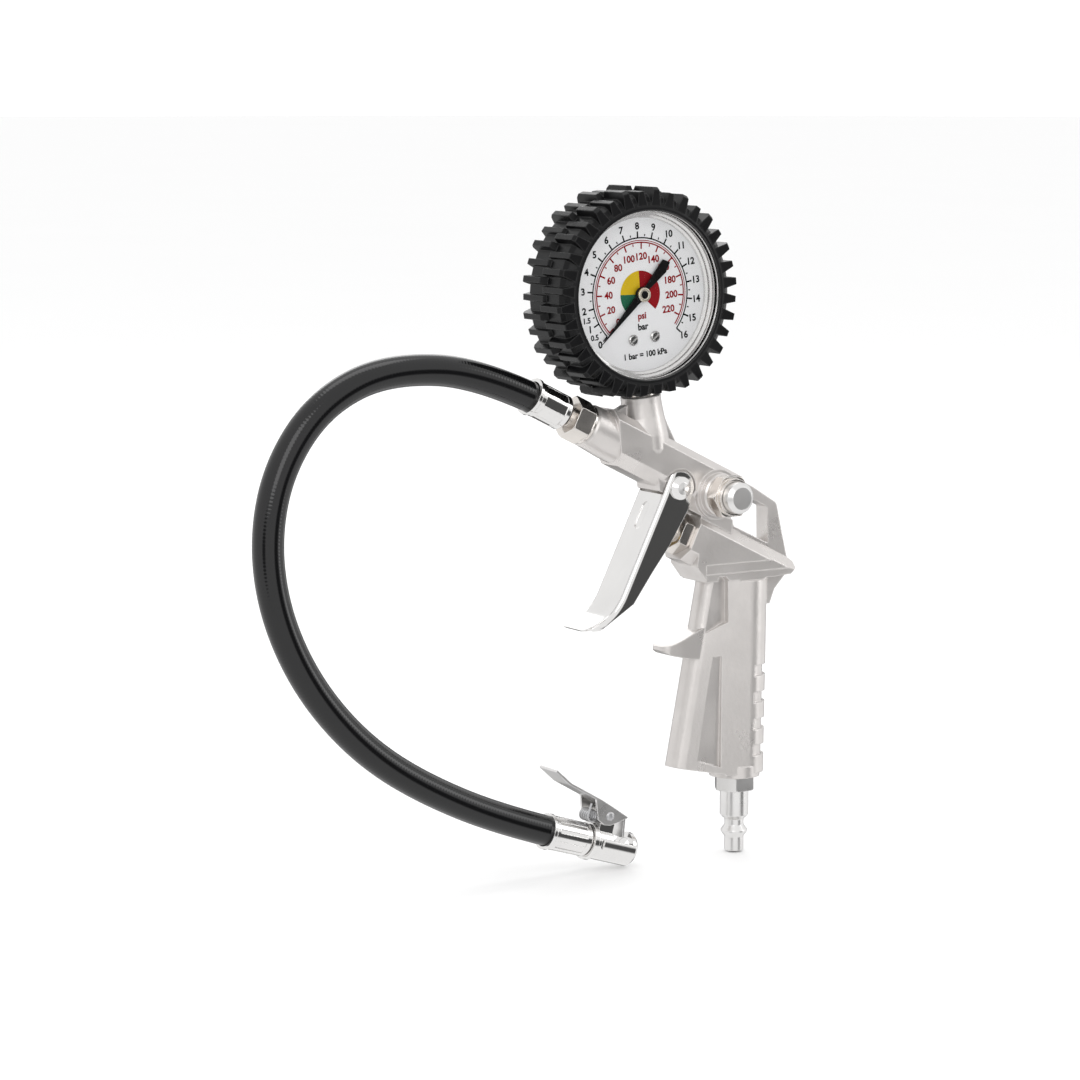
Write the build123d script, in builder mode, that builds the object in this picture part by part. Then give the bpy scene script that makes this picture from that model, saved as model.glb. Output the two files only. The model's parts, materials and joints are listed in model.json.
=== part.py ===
"""Tyre inflator with gauge: a pistol-grip air gun with a dial gauge, a whip hose and a clip-on chuck.

Frame: +Z up along the inlet plug, muzzle toward -X, dial facing -Y, millimetres.
The origin is the centre of the inlet plug's nose. The gun is symmetrical about the XZ plane.
"""

from build123d import *
from math import asin, cos, pi, radians, sin, sqrt, tan
import os

os.makedirs("parts", exist_ok=True)

# ---------------------------------------------------------------- driving dimensions

BARREL_SLOPE = 26.3  # the barrel falls toward the rear by this angle
GAUGE_LEAN = 6.0  # the gauge neck leans toward the muzzle by this angle
CHUCK_SLOPE = 17.0  # the chuck lies nose down by this angle

# Places along the barrel (s, toward the rear) and square to it (n, upward), from the origin.
BARREL_N = 121.0
VALVE_N = 100.5
PIVOT_S = -92.5
PIVOT_N = 114.7
BLEED_S = -75.3
BLEED_N = 119.3
MUZZLE_S = -136.5
VALVE_FACE_S = -77.5
CHAMBER_END_S = -50.0

BODY_HALF = 9.0  # half the width of the casting
BARREL_TOP = 130.2
BARREL_BOTTOM = 111.8

NECK_TOP = (-43.9, 177.0)  # centre of the gauge port's face, x and z
GAUGE_RISE = 40.2  # from the port's face to the dial's centre
PORT_R = 4.9

HOSE_R = 5.75
HOSE_BORE_R = 3.0
FIT = 0.05  # radial clearance of a running fit

TRIGGER_HALF = 9.2
SHEET = 1.2

CASE_R = 33.0
BOOT_R = 40.0
LUGS = 36

TEETH_PINION = 10
TEETH_FULL_SECTOR = 80
MODULE = 0.3

CHUCK_R = 6.5
CHUCK_PIVOT = (23.1, 11.0)
LEVER_HALF = 5.9
LEVER_SHEET = 1.0

# ---------------------------------------------------------------- frames

slope = radians(BARREL_SLOPE)
lean = radians(GAUGE_LEAN)
dip = radians(CHUCK_SLOPE)

ALONG = Vector(cos(slope), 0, -sin(slope))
RISE = Vector(sin(slope), 0, cos(slope))
FRONT = Vector(0, -1, 0)

SIDE = Plane.XZ
TILT = Plane(origin=(0, 0, 0), x_dir=ALONG, z_dir=FRONT)

GAUGE_UP = Vector(-sin(lean), 0, cos(lean))
GAUGE_RIGHT = Vector(cos(lean), 0, sin(lean))
PORT = Vector(NECK_TOP[0], 0, NECK_TOP[1])
DIAL_CENTRE = PORT + GAUGE_UP * GAUGE_RISE
DIAL = Plane(origin=DIAL_CENTRE, x_dir=GAUGE_RIGHT, z_dir=FRONT)

CHUCK_ALONG = Vector(cos(dip), 0, -sin(dip))
CHUCK_UP = Vector(sin(dip), 0, cos(dip))
CHUCK_START = Vector(-86.3, 0, 17.0)
CHUCK = Plane(origin=CHUCK_START, x_dir=CHUCK_ALONG, z_dir=FRONT)


def tilt_point(s, n):
    """The world point at s along the barrel and n square to it."""
    return ALONG * s + RISE * n


def chuck_point(t, m):
    """The world point at t along the chuck and m above its axis."""
    return CHUCK_START + CHUCK_ALONG * t + CHUCK_UP * m


def spindle(origin, axis, radial):
    """A plane for turned outlines: local x is the radius and local y runs along the axis."""
    return Plane(origin=origin, x_dir=radial, z_dir=radial.cross(axis))


BARREL_SPIN = spindle(tilt_point(0, BARREL_N), ALONG, RISE)
VALVE_SPIN = spindle(tilt_point(0, VALVE_N), ALONG, RISE)
PORT_SPIN = spindle(PORT, GAUGE_UP, GAUGE_RIGHT)
DIAL_SPIN = spindle(DIAL_CENTRE, FRONT, GAUGE_RIGHT)
PLUG_SPIN = spindle(Vector(0, 0, 0), Vector(0, 0, 1), Vector(1, 0, 0))
BLEED_SPIN = spindle(tilt_point(BLEED_S, BLEED_N), FRONT, Vector(1, 0, 0))
PIVOT_SPIN = spindle(tilt_point(PIVOT_S, PIVOT_N), FRONT, Vector(1, 0, 0))
CHUCK_SPIN = spindle(CHUCK_START, CHUCK_ALONG, CHUCK_UP)
CHUCK_PIN_SPIN = spindle(chuck_point(*CHUCK_PIVOT), FRONT, Vector(1, 0, 0))


def turned(plane, *outline):
    """A turned piece from (radius, height) corners on a spindle plane."""
    with BuildPart() as piece:
        with BuildSketch(plane):
            with BuildLine():
                Polyline(*outline, close=True)
            make_face()
        revolve(axis=Axis(plane.origin, plane.y_dir))
    return piece.part


def rod(plane, radius, start, end):
    """A round bar on a spindle plane, from start to end along its axis."""
    return turned(plane, (0, start), (radius, start), (radius, end), (0, end))


def ring(plane, outer, inner, start, end):
    """A plain ring on a spindle plane."""
    return turned(plane, (inner, start), (outer, start), (outer, end), (inner, end))


def slab(plane, near, far, *outline):
    """A flat-sided block: an outline on a plane, filled from height near to height far."""
    with BuildPart() as piece:
        with BuildSketch(plane.offset(near)):
            with BuildLine():
                Polyline(*outline, close=True)
            make_face()
        extrude(amount=far - near)
    return piece.part


def hexagon(plane, flats, start, end, turn=0.0):
    """A hexagonal block on a spindle plane, with its across-flats size and a turn in degrees."""
    across = Plane(origin=plane.origin + plane.y_dir * start, x_dir=plane.x_dir, z_dir=plane.y_dir)
    with BuildPart() as piece:
        with BuildSketch(across):
            RegularPolygon(radius=flats / 2, side_count=6, major_radius=False, rotation=turn)
        extrude(amount=end - start)
    return piece.part


def hex_nut(plane, flats, start, end, turn=0.0):
    """A hexagonal block whose corners are turned off at both ends."""
    corner = flats / sqrt(3)
    edge = 0.6
    blank = turned(
        plane,
        (0, start),
        (corner - edge, start),
        (corner, start + edge),
        (corner, end - edge),
        (corner - edge, end),
        (0, end),
    )
    return hexagon(plane, flats, start, end, turn) & blank


def biarc(start, start_dir, end, end_dir):
    """The middle point and direction of two tangent arcs joining start to end."""
    chord = end - start
    tangents = start_dir + end_dir
    closing = 2 * (1 - start_dir.dot(end_dir))
    lean_in = chord.dot(tangents)
    reach = (-lean_in + sqrt(lean_in**2 + closing * chord.dot(chord))) / closing
    first = start + start_dir * reach
    second = end - end_dir * reach
    return (first + second) * 0.5, (second - first).normalized()


def coil(plane, radius, wire, pitch, quarters, lead_in=0.0, lead_out=0.0):
    """A wound spring on a spindle plane: quarter-turn biarcs, with straight legs if it has them."""
    across = plane.x_dir.cross(plane.y_dir)

    def point(angle):
        flat = plane.x_dir * (radius * cos(angle)) + across * (radius * sin(angle))
        return plane.origin + flat + plane.y_dir * (wire / 2 + pitch * angle / (2 * pi))

    def direction(angle):
        flat = across * (radius * cos(angle)) - plane.x_dir * (radius * sin(angle))
        return (flat + plane.y_dir * (pitch / (2 * pi))).normalized()

    start = point(0) - direction(0) * lead_in
    end = quarters * pi / 2
    with BuildPart() as spring:
        with BuildLine():
            if lead_in:
                Line(start, point(0))
            for quarter in range(quarters):
                a = pi / 2 * quarter
                b = a + pi / 2
                middle, heading = biarc(point(a), direction(a), point(b), direction(b))
                TangentArc(point(a), middle, tangent=direction(a))
                TangentArc(middle, point(b), tangent=heading)
            if lead_out:
                Line(point(end), point(end) + direction(end) * lead_out)
        with BuildSketch(Plane(origin=start, z_dir=direction(0))):
            Circle(wire / 2)
        sweep()
    print(f"spring of {quarters / 4} turns: least gap to itself {pitch - wire:.2f} mm")
    return spring.part


def o_ring(plane, centre_r, tube_r, at):
    """A rubber ring of round section on a spindle plane."""
    with BuildPart() as seal:
        with BuildSketch(plane):
            with Locations((centre_r, at)):
                Circle(tube_r)
        revolve(axis=Axis(plane.origin, plane.y_dir))
    return seal.part


pieces = []


def keep(builder, name):
    """Labels a finished piece and writes it."""
    builder.part.label = name
    export_step(builder.part, f"parts/{name}.step")
    pieces.append(builder.part)


# ---------------------------------------------------------------- gun body


def barrel_section(plane, top, bottom, half, top_cut, bottom_cut, length):
    """A flat-sided bar with cut corners, on a plane square to the barrel."""
    with BuildPart() as bar:
        with BuildSketch(plane):
            with BuildLine():
                Polyline(
                    (-half, bottom + bottom_cut[1]),
                    (-half, top - top_cut[1]),
                    (-half + top_cut[0], top),
                    (half - top_cut[0], top),
                    (half, top - top_cut[1]),
                    (half, bottom + bottom_cut[1]),
                    (half - bottom_cut[0], bottom),
                    (-half + bottom_cut[0], bottom),
                    close=True,
                )
            make_face()
        extrude(amount=length)
    return bar.part


def across_barrel(s):
    """A plane square to the barrel at s: local x is the world's Y, local y runs along n."""
    return Plane(origin=ALONG * s, x_dir=(0, 1, 0), z_dir=ALONG)


GRIP_FOOT_Z = 31.0
GRIP_END_Z = 29.5
GRIP_HEAD_Z = 108.0
TUBE_R = 5.5
TUBE_FOOT_X = -26.6
TUBE_HEAD_X = -11.6
BACK_R = 9.4
BACK_FOOT_X = 2.0
BACK_HEAD_X = 3.2
GROOVE_WIDTH = 4.2
GROOVE_DEPTH = 1.1


def grip_section(height, tube_x, back_x):
    """The grip's plan: a slim round front and a full round back, joined by tangents."""
    reach = back_x - tube_x
    flare = asin((BACK_R - TUBE_R) / reach)
    sine = sin(flare)
    cosine = cos(flare)
    front_left = (tube_x - TUBE_R * sine, TUBE_R * cosine)
    front_right = (tube_x - TUBE_R * sine, -TUBE_R * cosine)
    back_left = (back_x - BACK_R * sine, BACK_R * cosine)
    back_right = (back_x - BACK_R * sine, -BACK_R * cosine)
    with BuildSketch(Plane.XY.offset(height)) as plan:
        with BuildLine():
            ThreePointArc(front_left, (tube_x - TUBE_R, 0), front_right)
            Line(front_right, back_right)
            ThreePointArc(back_right, (back_x + BACK_R, 0), back_left)
            Line(back_left, front_left)
        make_face()
    return plan.sketch


def grip_blank():
    """The grip from its foot to the valve housing."""
    with BuildPart() as grip:
        add(grip_section(GRIP_FOOT_Z, TUBE_FOOT_X, BACK_FOOT_X))
        add(grip_section(GRIP_HEAD_Z, TUBE_HEAD_X, BACK_HEAD_X))
        loft(ruled=True)
    return grip.part


def back_groove(low):
    """A shallow groove round the grip's back, which the palm feels."""
    centre_x = BACK_FOOT_X + (BACK_HEAD_X - BACK_FOOT_X) * (low - GRIP_FOOT_Z) / (GRIP_HEAD_Z - GRIP_FOOT_Z)
    axis = spindle(Vector(centre_x, 0, 0), Vector(0, 0, 1), Vector(1, 0, 0))
    high = low + GROOVE_WIDTH
    with BuildPart() as groove:
        add(slab(SIDE, -12.0, 12.0, (centre_x, low), (centre_x, high), (15.0, high), (15.0, low)))
        add(rod(axis, BACK_R - GROOVE_DEPTH, low - 1.0, high + 1.0), mode=Mode.SUBTRACT)
    return groove.part


def finger_rest():
    """The fin that the hand rests under the trigger: slim, hooked and rounded at its tip."""
    with BuildPart() as fin:
        with BuildSketch(SIDE.offset(-5.0)):
            with BuildLine():
                Polyline((-36.4, 81.4), (-33.0, 79.4), (-24.0, 77.2), (-14.0, 76.6))
                Line((-14.0, 76.6), (-14.0, 90.2))
                Spline((-14.0, 90.2), (-24.5, 86.2), (-30.0, 84.0), (-36.2, 82.8))
                Line((-36.2, 82.8), (-36.4, 81.4))
            make_face()
        extrude(amount=10.0)
        tip = fin.edges().filter_by(Axis.Y, reverse=True).sort_by(Axis.X)[:2]
        fillet(tip, radius=3.6)
    return fin.part


def hanging_loop():
    """The flat ring behind the barrel that the gun hangs by."""
    outer = ((-12.0, 150.0), (5.2, 141.4), (16.2, 134.6), (18.9, 123.0), (22.4, 109.0), (-12.0, 118.0))
    with BuildPart() as loop:
        with BuildSketch(SIDE.offset(-3.75)):
            with BuildLine():
                Polyline(*outer, close=True)
            make_face()
        extrude(amount=7.5)
        corners = loop.edges().filter_by(Axis.Y).sort_by(Axis.X)[2:5]
        fillet(corners, radius=2.4)
    return loop.part


with BuildPart() as gun_body:
    # The barrel: a round muzzle sleeve, then a flat-sided bar with cut corners and a swept front.
    add(
        barrel_section(
            across_barrel(-133.0), BARREL_TOP, BARREL_BOTTOM, BODY_HALF, (3.0, 3.0), (3.6, 4.6), 67.0
        )
        & slab(TILT, -10.0, 10.0, (-131.5, 131.0), (-119.5, 111.0), (-60.0, 111.0), (-60.0, 131.0))
    )
    add(
        turned(
            BARREL_SPIN,
            (0, MUZZLE_S),
            (7.6, MUZZLE_S),
            (8.3, MUZZLE_S + 0.8),
            (8.8, -126.0),
            (8.8, -112.0),
            (0, -112.0),
        )
    )
    # The round boss of the bleed valve closes the barrel's rear end.
    add(
        turned(
            BLEED_SPIN,
            (0, -8.6),
            (9.6, -8.6),
            (9.6, 9.2),
            (8.1, 9.2),
            (8.1, 11.6),
            (7.0, 12.5),
            (0, 12.5),
        )
    )
    # The gauge neck flares into the barrel, with a small rib ahead and behind.
    add(
        turned(
            PORT_SPIN,
            (0, -22.0),
            (8.6, -22.0),
            (9.3, -18.0),
            (9.3, -13.0),
            (8.9, -10.0),
            (8.2, -6.0),
            (7.8, -2.5),
            (7.6, -0.5),
            (7.6, 1.5),
            (7.2, 1.9),
            (0, 1.9),
        )
    )
    add(slab(SIDE, -1.8, 1.8, (-52.2, 175.2), (-44.0, 176.0), (-44.0, 166.0), (-58.5, 172.2)))
    add(slab(SIDE, -1.3, 1.3, (-44.0, 175.5), (-36.4, 174.5), (-27.6, 158.0), (-44.0, 163.0)))
    # The web that carries the valve housing under the barrel, and the trigger's lug.
    add(
        slab(
            TILT,
            -7.4,
            7.4,
            (-84.0, 113.5),
            (-63.5, 113.5),
            (-61.5, 108.5),
            (-77.4, 108.5),
            (-77.6, 109.3),
            (-84.0, 109.3),
        )
    )
    add(slab(TILT, -7.6, 7.6, (-102.5, 114.5), (-83.0, 114.5), (-84.5, 110.0), (-99.5, 110.4)))
    # The valve housing: a boss round the valve, and the block that caps the grip.
    add(
        barrel_section(
            across_barrel(VALVE_FACE_S), 110.8, 91.0, BODY_HALF, (4.0, 4.6), (4.2, 4.6), 22.0
        )
    )
    add(
        slab(
            SIDE,
            -BODY_HALF,
            BODY_HALF,
            (-21.5, 131.2),
            (-16.0, 131.2),
            (20.6, 113.2),
            (22.7, 111.6),
            (22.9, 109.6),
            (20.4, 107.2),
            (12.0, 106.6),
            (-19.0, 106.6),
            (-24.0, 113.0),
        )
        & barrel_section(
            across_barrel(-90.0), 110.8, 80.0, BODY_HALF, (4.0, 4.6), (0.5, 0.5), 80.0
        )
    )
    add(hanging_loop())
    add(slab(SIDE, -5.4, 5.4, (8.0, 109.0), (19.6, 107.0), (14.4, 101.6), (12.2, 96.0), (4.0, 96.0)))
    add(grip_blank())
    add(finger_rest())
    add(rod(PLUG_SPIN, 9.7, GRIP_END_Z, 34.0))
    # The foot of the grip rises toward the front.
    add(
        slab(SIDE, -12.0, 12.0, (-40.0, 28.0), (-40.0, 37.6), (-9.5, 31.6), (-9.5, 28.0)),
        mode=Mode.SUBTRACT,
    )
    # The loop's window.
    add(
        slab(SIDE, -10.0, 10.0, (-3.5, 126.8), (12.3, 119.3), (12.0, 133.2), (3.6, 137.4), (-5.4, 131.0)),
        mode=Mode.SUBTRACT,
    )
    # Stepped sides below the housing.
    for face in (-1, 1):
        for step_z, step_y in ((113.4, 8.5), (109.6, 8.0)):
            low = SIDE.offset(face * step_y) if face > 0 else SIDE.offset(-step_y - 2.0)
            add(
                slab(low, 0, 2.0, (-19.5, 106.0), (-19.5, step_z), (26.0, step_z), (26.0, 106.0)),
                mode=Mode.SUBTRACT,
            )
    # Panels: a deep one beside the upper front of the grip, a shallow one below.
    for face in (-1, 1):
        deep = 4.6 if face > 0 else -10.6
        add(
            slab(
                SIDE.offset(deep),
                0,
                6.0,
                (-17.6, 86.6),
                (-8.2, 90.6),
                (-8.2, 106.4),
                (-10.0, 108.4),
                (-13.2, 108.4),
            ),
            mode=Mode.SUBTRACT,
        )
        shallow = 6.1 if face > 0 else -10.1
        add(
            slab(SIDE.offset(shallow), 0, 4.0, (-11.6, 34.6), (-11.0, 77.6), (-14.6, 77.6), (-22.0, 38.0)),
            mode=Mode.SUBTRACT,
        )
    for low in (68.9, 58.5, 48.1, 37.9):
        add(back_groove(low), mode=Mode.SUBTRACT)
    # Room for the trigger's cheeks beside the lug.
    for face in (-1, 1):
        inner = 7.8 if face > 0 else -12.0
        add(
            slab(
                TILT.offset(inner),
                0,
                4.2,
                (PIVOT_S - 7.1, PIVOT_N - 9.0),
                (PIVOT_S - 7.1, PIVOT_N),
                (PIVOT_S + 7.1, PIVOT_N),
                (PIVOT_S + 9.6, PIVOT_N - 4.0),
                (PIVOT_S + 11.5, PIVOT_N - 9.0),
            ),
            mode=Mode.SUBTRACT,
        )
        add(rod(PIVOT_SPIN, 7.1, inner, inner + 4.2), mode=Mode.SUBTRACT)
    # Air ways, threads' seats and the pivot's bore.
    add(rod(BARREL_SPIN, 6.0 + FIT, MUZZLE_S - 1.0, -127.0), mode=Mode.SUBTRACT)
    add(rod(BARREL_SPIN, 3.5, -128.0, -69.0), mode=Mode.SUBTRACT)
    add(rod(PORT_SPIN, 6.5, 0, 3.0), mode=Mode.SUBTRACT)
    add(rod(PORT_SPIN, PORT_R, -10.5, 1.0), mode=Mode.SUBTRACT)
    add(rod(PORT_SPIN, 2.0, -24.0, -9.0), mode=Mode.SUBTRACT)
    add(rod(VALVE_SPIN, 5.5, VALVE_FACE_S - 1.0, CHAMBER_END_S), mode=Mode.SUBTRACT)
    add(rod(spindle(tilt_point(-69.2, 0), RISE, ALONG), 1.8, 99.0, 121.0), mode=Mode.SUBTRACT)
    add(rod(PLUG_SPIN, 6.5 + FIT, 29.0, 41.0), mode=Mode.SUBTRACT)
    add(rod(PLUG_SPIN, 3.2, 40.0, 111.0), mode=Mode.SUBTRACT)
    add(rod(BLEED_SPIN, 4.5 + FIT, -2.0, 13.0), mode=Mode.SUBTRACT)
    add(rod(PIVOT_SPIN, 2.0 + FIT, -10.0, 10.0), mode=Mode.SUBTRACT)
keep(gun_body, "gun_body")

# ---------------------------------------------------------------- inlet plug and main valve

PLUG_HEX = 14.3

with BuildPart() as inlet_plug:
    add(
        turned(
            PLUG_SPIN,
            (0, 0),
            (3.7, 0),
            (3.7, 5.4),
            (5.1, 7.4),
            (5.1, 8.0),
            (3.7, 10.0),
            (3.7, 12.2),
            (5.5, 14.0),
            (5.5, 23.9),
            (0, 23.9),
        )
    )
    add(hex_nut(PLUG_SPIN, PLUG_HEX, 23.9, GRIP_END_Z))
    add(rod(PLUG_SPIN, 6.5, GRIP_END_Z, 40.0))
    add(rod(PLUG_SPIN, 2.5, -1.0, 41.0), mode=Mode.SUBTRACT)
keep(inlet_plug, "inlet_plug")

GLAND_FRONT = -82.6
GLAND_END = -71.5
STEM_R = 2.0
STEM_TIP = PIVOT_S - 4.4 + 0.15  # just clear of the trigger's web
SEAT_END = -61.0
DISC_END = -59.2
DISC_BACK = -57.2

with BuildPart() as valve_gland_nut:
    add(hex_nut(VALVE_SPIN, 14.3, GLAND_FRONT, VALVE_FACE_S))
    add(rod(VALVE_SPIN, 4.3, GLAND_FRONT - 1.6, GLAND_FRONT))
    add(rod(VALVE_SPIN, 5.45, VALVE_FACE_S, GLAND_END))
    add(rod(VALVE_SPIN, STEM_R + FIT, GLAND_FRONT - 2.0, GLAND_END + 1.0), mode=Mode.SUBTRACT)
    add(rod(VALVE_SPIN, 3.45, -74.3, -72.8), mode=Mode.SUBTRACT)
keep(valve_gland_nut, "valve_gland_nut")

with BuildPart() as stem_seal:
    add(o_ring(VALVE_SPIN, 2.75, 0.68, -73.55))
keep(stem_seal, "stem_seal")

with BuildPart() as valve_seat:
    add(ring(VALVE_SPIN, 5.45, 3.0, -66.0, SEAT_END - 0.8))
    add(ring(VALVE_SPIN, 3.8, 3.0, -62.0, SEAT_END))
keep(valve_seat, "valve_seat")

with BuildPart() as valve_stem:
    add(
        turned(
            VALVE_SPIN,
            (0, STEM_TIP),
            (1.0, STEM_TIP + 0.15),
            (STEM_R, STEM_TIP + 1.1),
            (STEM_R, DISC_END),
            (4.2, DISC_END),
            (4.2, DISC_BACK),
            (2.2, DISC_BACK),
            (2.2, -55.4),
            (0, -55.4),
        )
    )
keep(valve_stem, "valve_stem")

with BuildPart() as valve_disc:
    add(ring(VALVE_SPIN, 4.6, STEM_R + 0.02, SEAT_END + 0.1, DISC_END))
keep(valve_disc, "valve_disc")

with BuildPart() as valve_spring:
    add(coil(spindle(tilt_point(CHAMBER_END_S, VALVE_N), ALONG * -1, RISE), 3.3, 0.7, 1.6, 16))
keep(valve_spring, "valve_spring")

# ---------------------------------------------------------------- trigger

WEB_FRONT = -5.6  # the web's front face, ahead of the pivot
WEB_TOP = -5.0
KNEE = -46.0  # where the lip's bend starts, below the pivot
LIP_R = 21.2
LIP_TURN = 60.0


def from_pivot(ds, dn):
    """A point of the trigger's side outline, measured from its pivot."""
    return (PIVOT_S + ds, PIVOT_N + dn)


def on_lip(radius, turn):
    """A point on the lip's bend, whose centre lies ahead of the knee."""
    angle = radians(turn)
    return from_pivot(WEB_FRONT - LIP_R + radius * cos(angle), KNEE - radius * sin(angle))


with BuildPart() as trigger:
    # The outside of the pressing.
    with BuildSketch(TILT.offset(-TRIGGER_HALF)):
        with BuildLine():
            Line(from_pivot(WEB_FRONT, WEB_TOP), from_pivot(WEB_FRONT, KNEE))
            ThreePointArc(on_lip(LIP_R, 0), on_lip(LIP_R, LIP_TURN / 2), on_lip(LIP_R, LIP_TURN))
            Polyline(
                on_lip(LIP_R, LIP_TURN),
                on_lip(LIP_R + SHEET, LIP_TURN),
                on_lip(LIP_R + SHEET + 1.4, 42),
                from_pivot(0.2, -47.3),
                from_pivot(2.7, -33.2),
                from_pivot(5.3, -21.1),
                from_pivot(7.0, -6.0),
                from_pivot(6.2, 0),
            )
            ThreePointArc(from_pivot(6.2, 0), from_pivot(0.6, 6.17), from_pivot(-5.9, 1.9))
            Line(from_pivot(-5.9, 1.9), from_pivot(WEB_FRONT, WEB_TOP))
        make_face()
    extrude(amount=2 * TRIGGER_HALF)
    bends = trigger.edges().filter_by(Axis(origin=(0, 0, 0), direction=RISE))
    front_bends = bends.sort_by(Axis(origin=(0, 0, 0), direction=ALONG))[:2]
    fillet(front_bends, radius=2.2)
    # The channel between the cheeks, open to the rear.
    with BuildSketch(TILT.offset(SHEET - TRIGGER_HALF)):
        with BuildLine():
            Line(from_pivot(WEB_FRONT + SHEET, 20.0), from_pivot(WEB_FRONT + SHEET, KNEE))
            ThreePointArc(on_lip(LIP_R + SHEET, 0), on_lip(LIP_R + SHEET, 33), on_lip(LIP_R + SHEET, 66))
            Polyline(
                on_lip(LIP_R + SHEET, 66),
                from_pivot(20.0, -75.0),
                from_pivot(20.0, 20.0),
                from_pivot(WEB_FRONT + SHEET, 20.0),
            )
        make_face()
    extrude(amount=2 * (TRIGGER_HALF - SHEET), mode=Mode.SUBTRACT)
    # The web stops under the lug: only the cheeks reach the pivot.
    add(
        slab(
            TILT,
            SHEET - TRIGGER_HALF,
            TRIGGER_HALF - SHEET,
            from_pivot(-12.0, WEB_TOP),
            from_pivot(-12.0, 9.0),
            from_pivot(0, 9.0),
            from_pivot(0, WEB_TOP),
        ),
        mode=Mode.SUBTRACT,
    )
    # The lip's corners are round seen from the front.
    with BuildSketch(across_barrel(-130.0)):
        with Locations((0, PIVOT_N - 18.0)):
            RectangleRounded(2 * TRIGGER_HALF, 93.2, 4.5)
    extrude(amount=60.0, mode=Mode.INTERSECT)
    add(rod(PIVOT_SPIN, STEM_R + 0.02, -10.0, 10.0), mode=Mode.SUBTRACT)
    # The pressed oval that bears on the valve stem.
    with BuildSketch(Plane(origin=tilt_point(PIVOT_S + WEB_FRONT, VALVE_N), x_dir=RISE, z_dir=ALONG)):
        SlotOverall(11.0, 4.2)
    extrude(amount=0.4, mode=Mode.SUBTRACT)
keep(trigger, "trigger")

with BuildPart() as trigger_pin:
    add(
        turned(
            PIVOT_SPIN,
            (0, -11.7),
            (2.4, -11.3),
            (4.4, -9.9),
            (4.4, -TRIGGER_HALF),
            (STEM_R, -TRIGGER_HALF),
            (STEM_R, TRIGGER_HALF),
            (4.4, TRIGGER_HALF),
            (4.4, 9.9),
            (2.4, 11.3),
            (0, 11.7),
        )
    )
keep(trigger_pin, "trigger_pin")

# ---------------------------------------------------------------- bleed valve

BUTTON_STEM_R = 1.5

with BuildPart() as bleed_washer:
    add(ring(BLEED_SPIN, 7.6, 4.55, 12.5, 13.7))
keep(bleed_washer, "bleed_washer")

with BuildPart() as bleed_nut:
    add(hex_nut(BLEED_SPIN, 15.0, 13.7, 18.7))
    add(rod(BLEED_SPIN, 7.0, 18.0, 20.4))
    add(rod(BLEED_SPIN, 4.5, 3.4, 13.7))
    add(rod(BLEED_SPIN, BUTTON_STEM_R + FIT, 3.0, 7.0), mode=Mode.SUBTRACT)
    add(rod(BLEED_SPIN, 3.5, 6.4, 17.0), mode=Mode.SUBTRACT)
    add(rod(BLEED_SPIN, 6.05, 16.9, 21.0), mode=Mode.SUBTRACT)
keep(bleed_nut, "bleed_nut")

with BuildPart() as bleed_button:
    add(
        turned(
            BLEED_SPIN,
            (0, 0.7),
            (2.4, 0.7),
            (2.4, 1.9),
            (BUTTON_STEM_R, 1.9),
            (BUTTON_STEM_R, 19.4),
            (5.9, 19.4),
            (5.9, 23.6),
            (4.3, 25.0),
            (0, 25.0),
        )
    )
keep(bleed_button, "bleed_button")

with BuildPart() as bleed_seal:
    add(ring(BLEED_SPIN, 3.6, BUTTON_STEM_R + 0.02, 1.9, 3.3))
keep(bleed_seal, "bleed_seal")

with BuildPart() as bleed_spring:
    add(coil(spindle(BLEED_SPIN.origin + FRONT * 7.0, FRONT, Vector(1, 0, 0)), 2.6, 0.7, 2.3, 20))
keep(bleed_spring, "bleed_spring")

# ---------------------------------------------------------------- muzzle fitting, hose and ferrules

HOSE_START_S = -148.5
HOSE_END_T = 17.3
FERRULE_OUT_R = 6.7
CRIMP_R = 6.35


def crimps(origin, axis, radial, count, length, width):
    """Cutters for the flats that a crimping tool leaves round a ferrule."""
    with BuildPart() as cut:
        with BuildSketch(Plane(origin=origin, x_dir=radial, z_dir=axis)):
            with PolarLocations(CRIMP_R + 1.0, count):
                Rectangle(2.0, width)
        extrude(amount=length)
    return cut.part


with BuildPart() as muzzle_fitting:
    add(hex_nut(BARREL_SPIN, 14.6, -144.9, -137.5))
    add(rod(BARREL_SPIN, 7.7, -137.5, MUZZLE_S))
    add(rod(BARREL_SPIN, 6.0, MUZZLE_S, -127.5))
    add(rod(BARREL_SPIN, 4.0, -148.4, -144.9))
    add(rod(BARREL_SPIN, HOSE_BORE_R - FIT, -162.0, -148.4))
    add(rod(BARREL_SPIN, 1.8, -163.0, -127.0), mode=Mode.SUBTRACT)
keep(muzzle_fitting, "muzzle_fitting")

with BuildPart() as muzzle_ferrule:
    add(
        turned(
            BARREL_SPIN,
            (HOSE_R + FIT, -163.5),
            (7.2, -163.5),
            (7.2, -162.2),
            (FERRULE_OUT_R, -161.8),
            (FERRULE_OUT_R, -148.2),
            (6.0, -147.2),
            (4.05, -147.2),
            (4.05, -148.4),
            (HOSE_R + FIT, -148.4),
        )
    )
    add(crimps(tilt_point(-160.0, BARREL_N), ALONG, RISE, 8, 10.0, 3.6), mode=Mode.SUBTRACT)
keep(muzzle_ferrule, "muzzle_ferrule")

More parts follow.
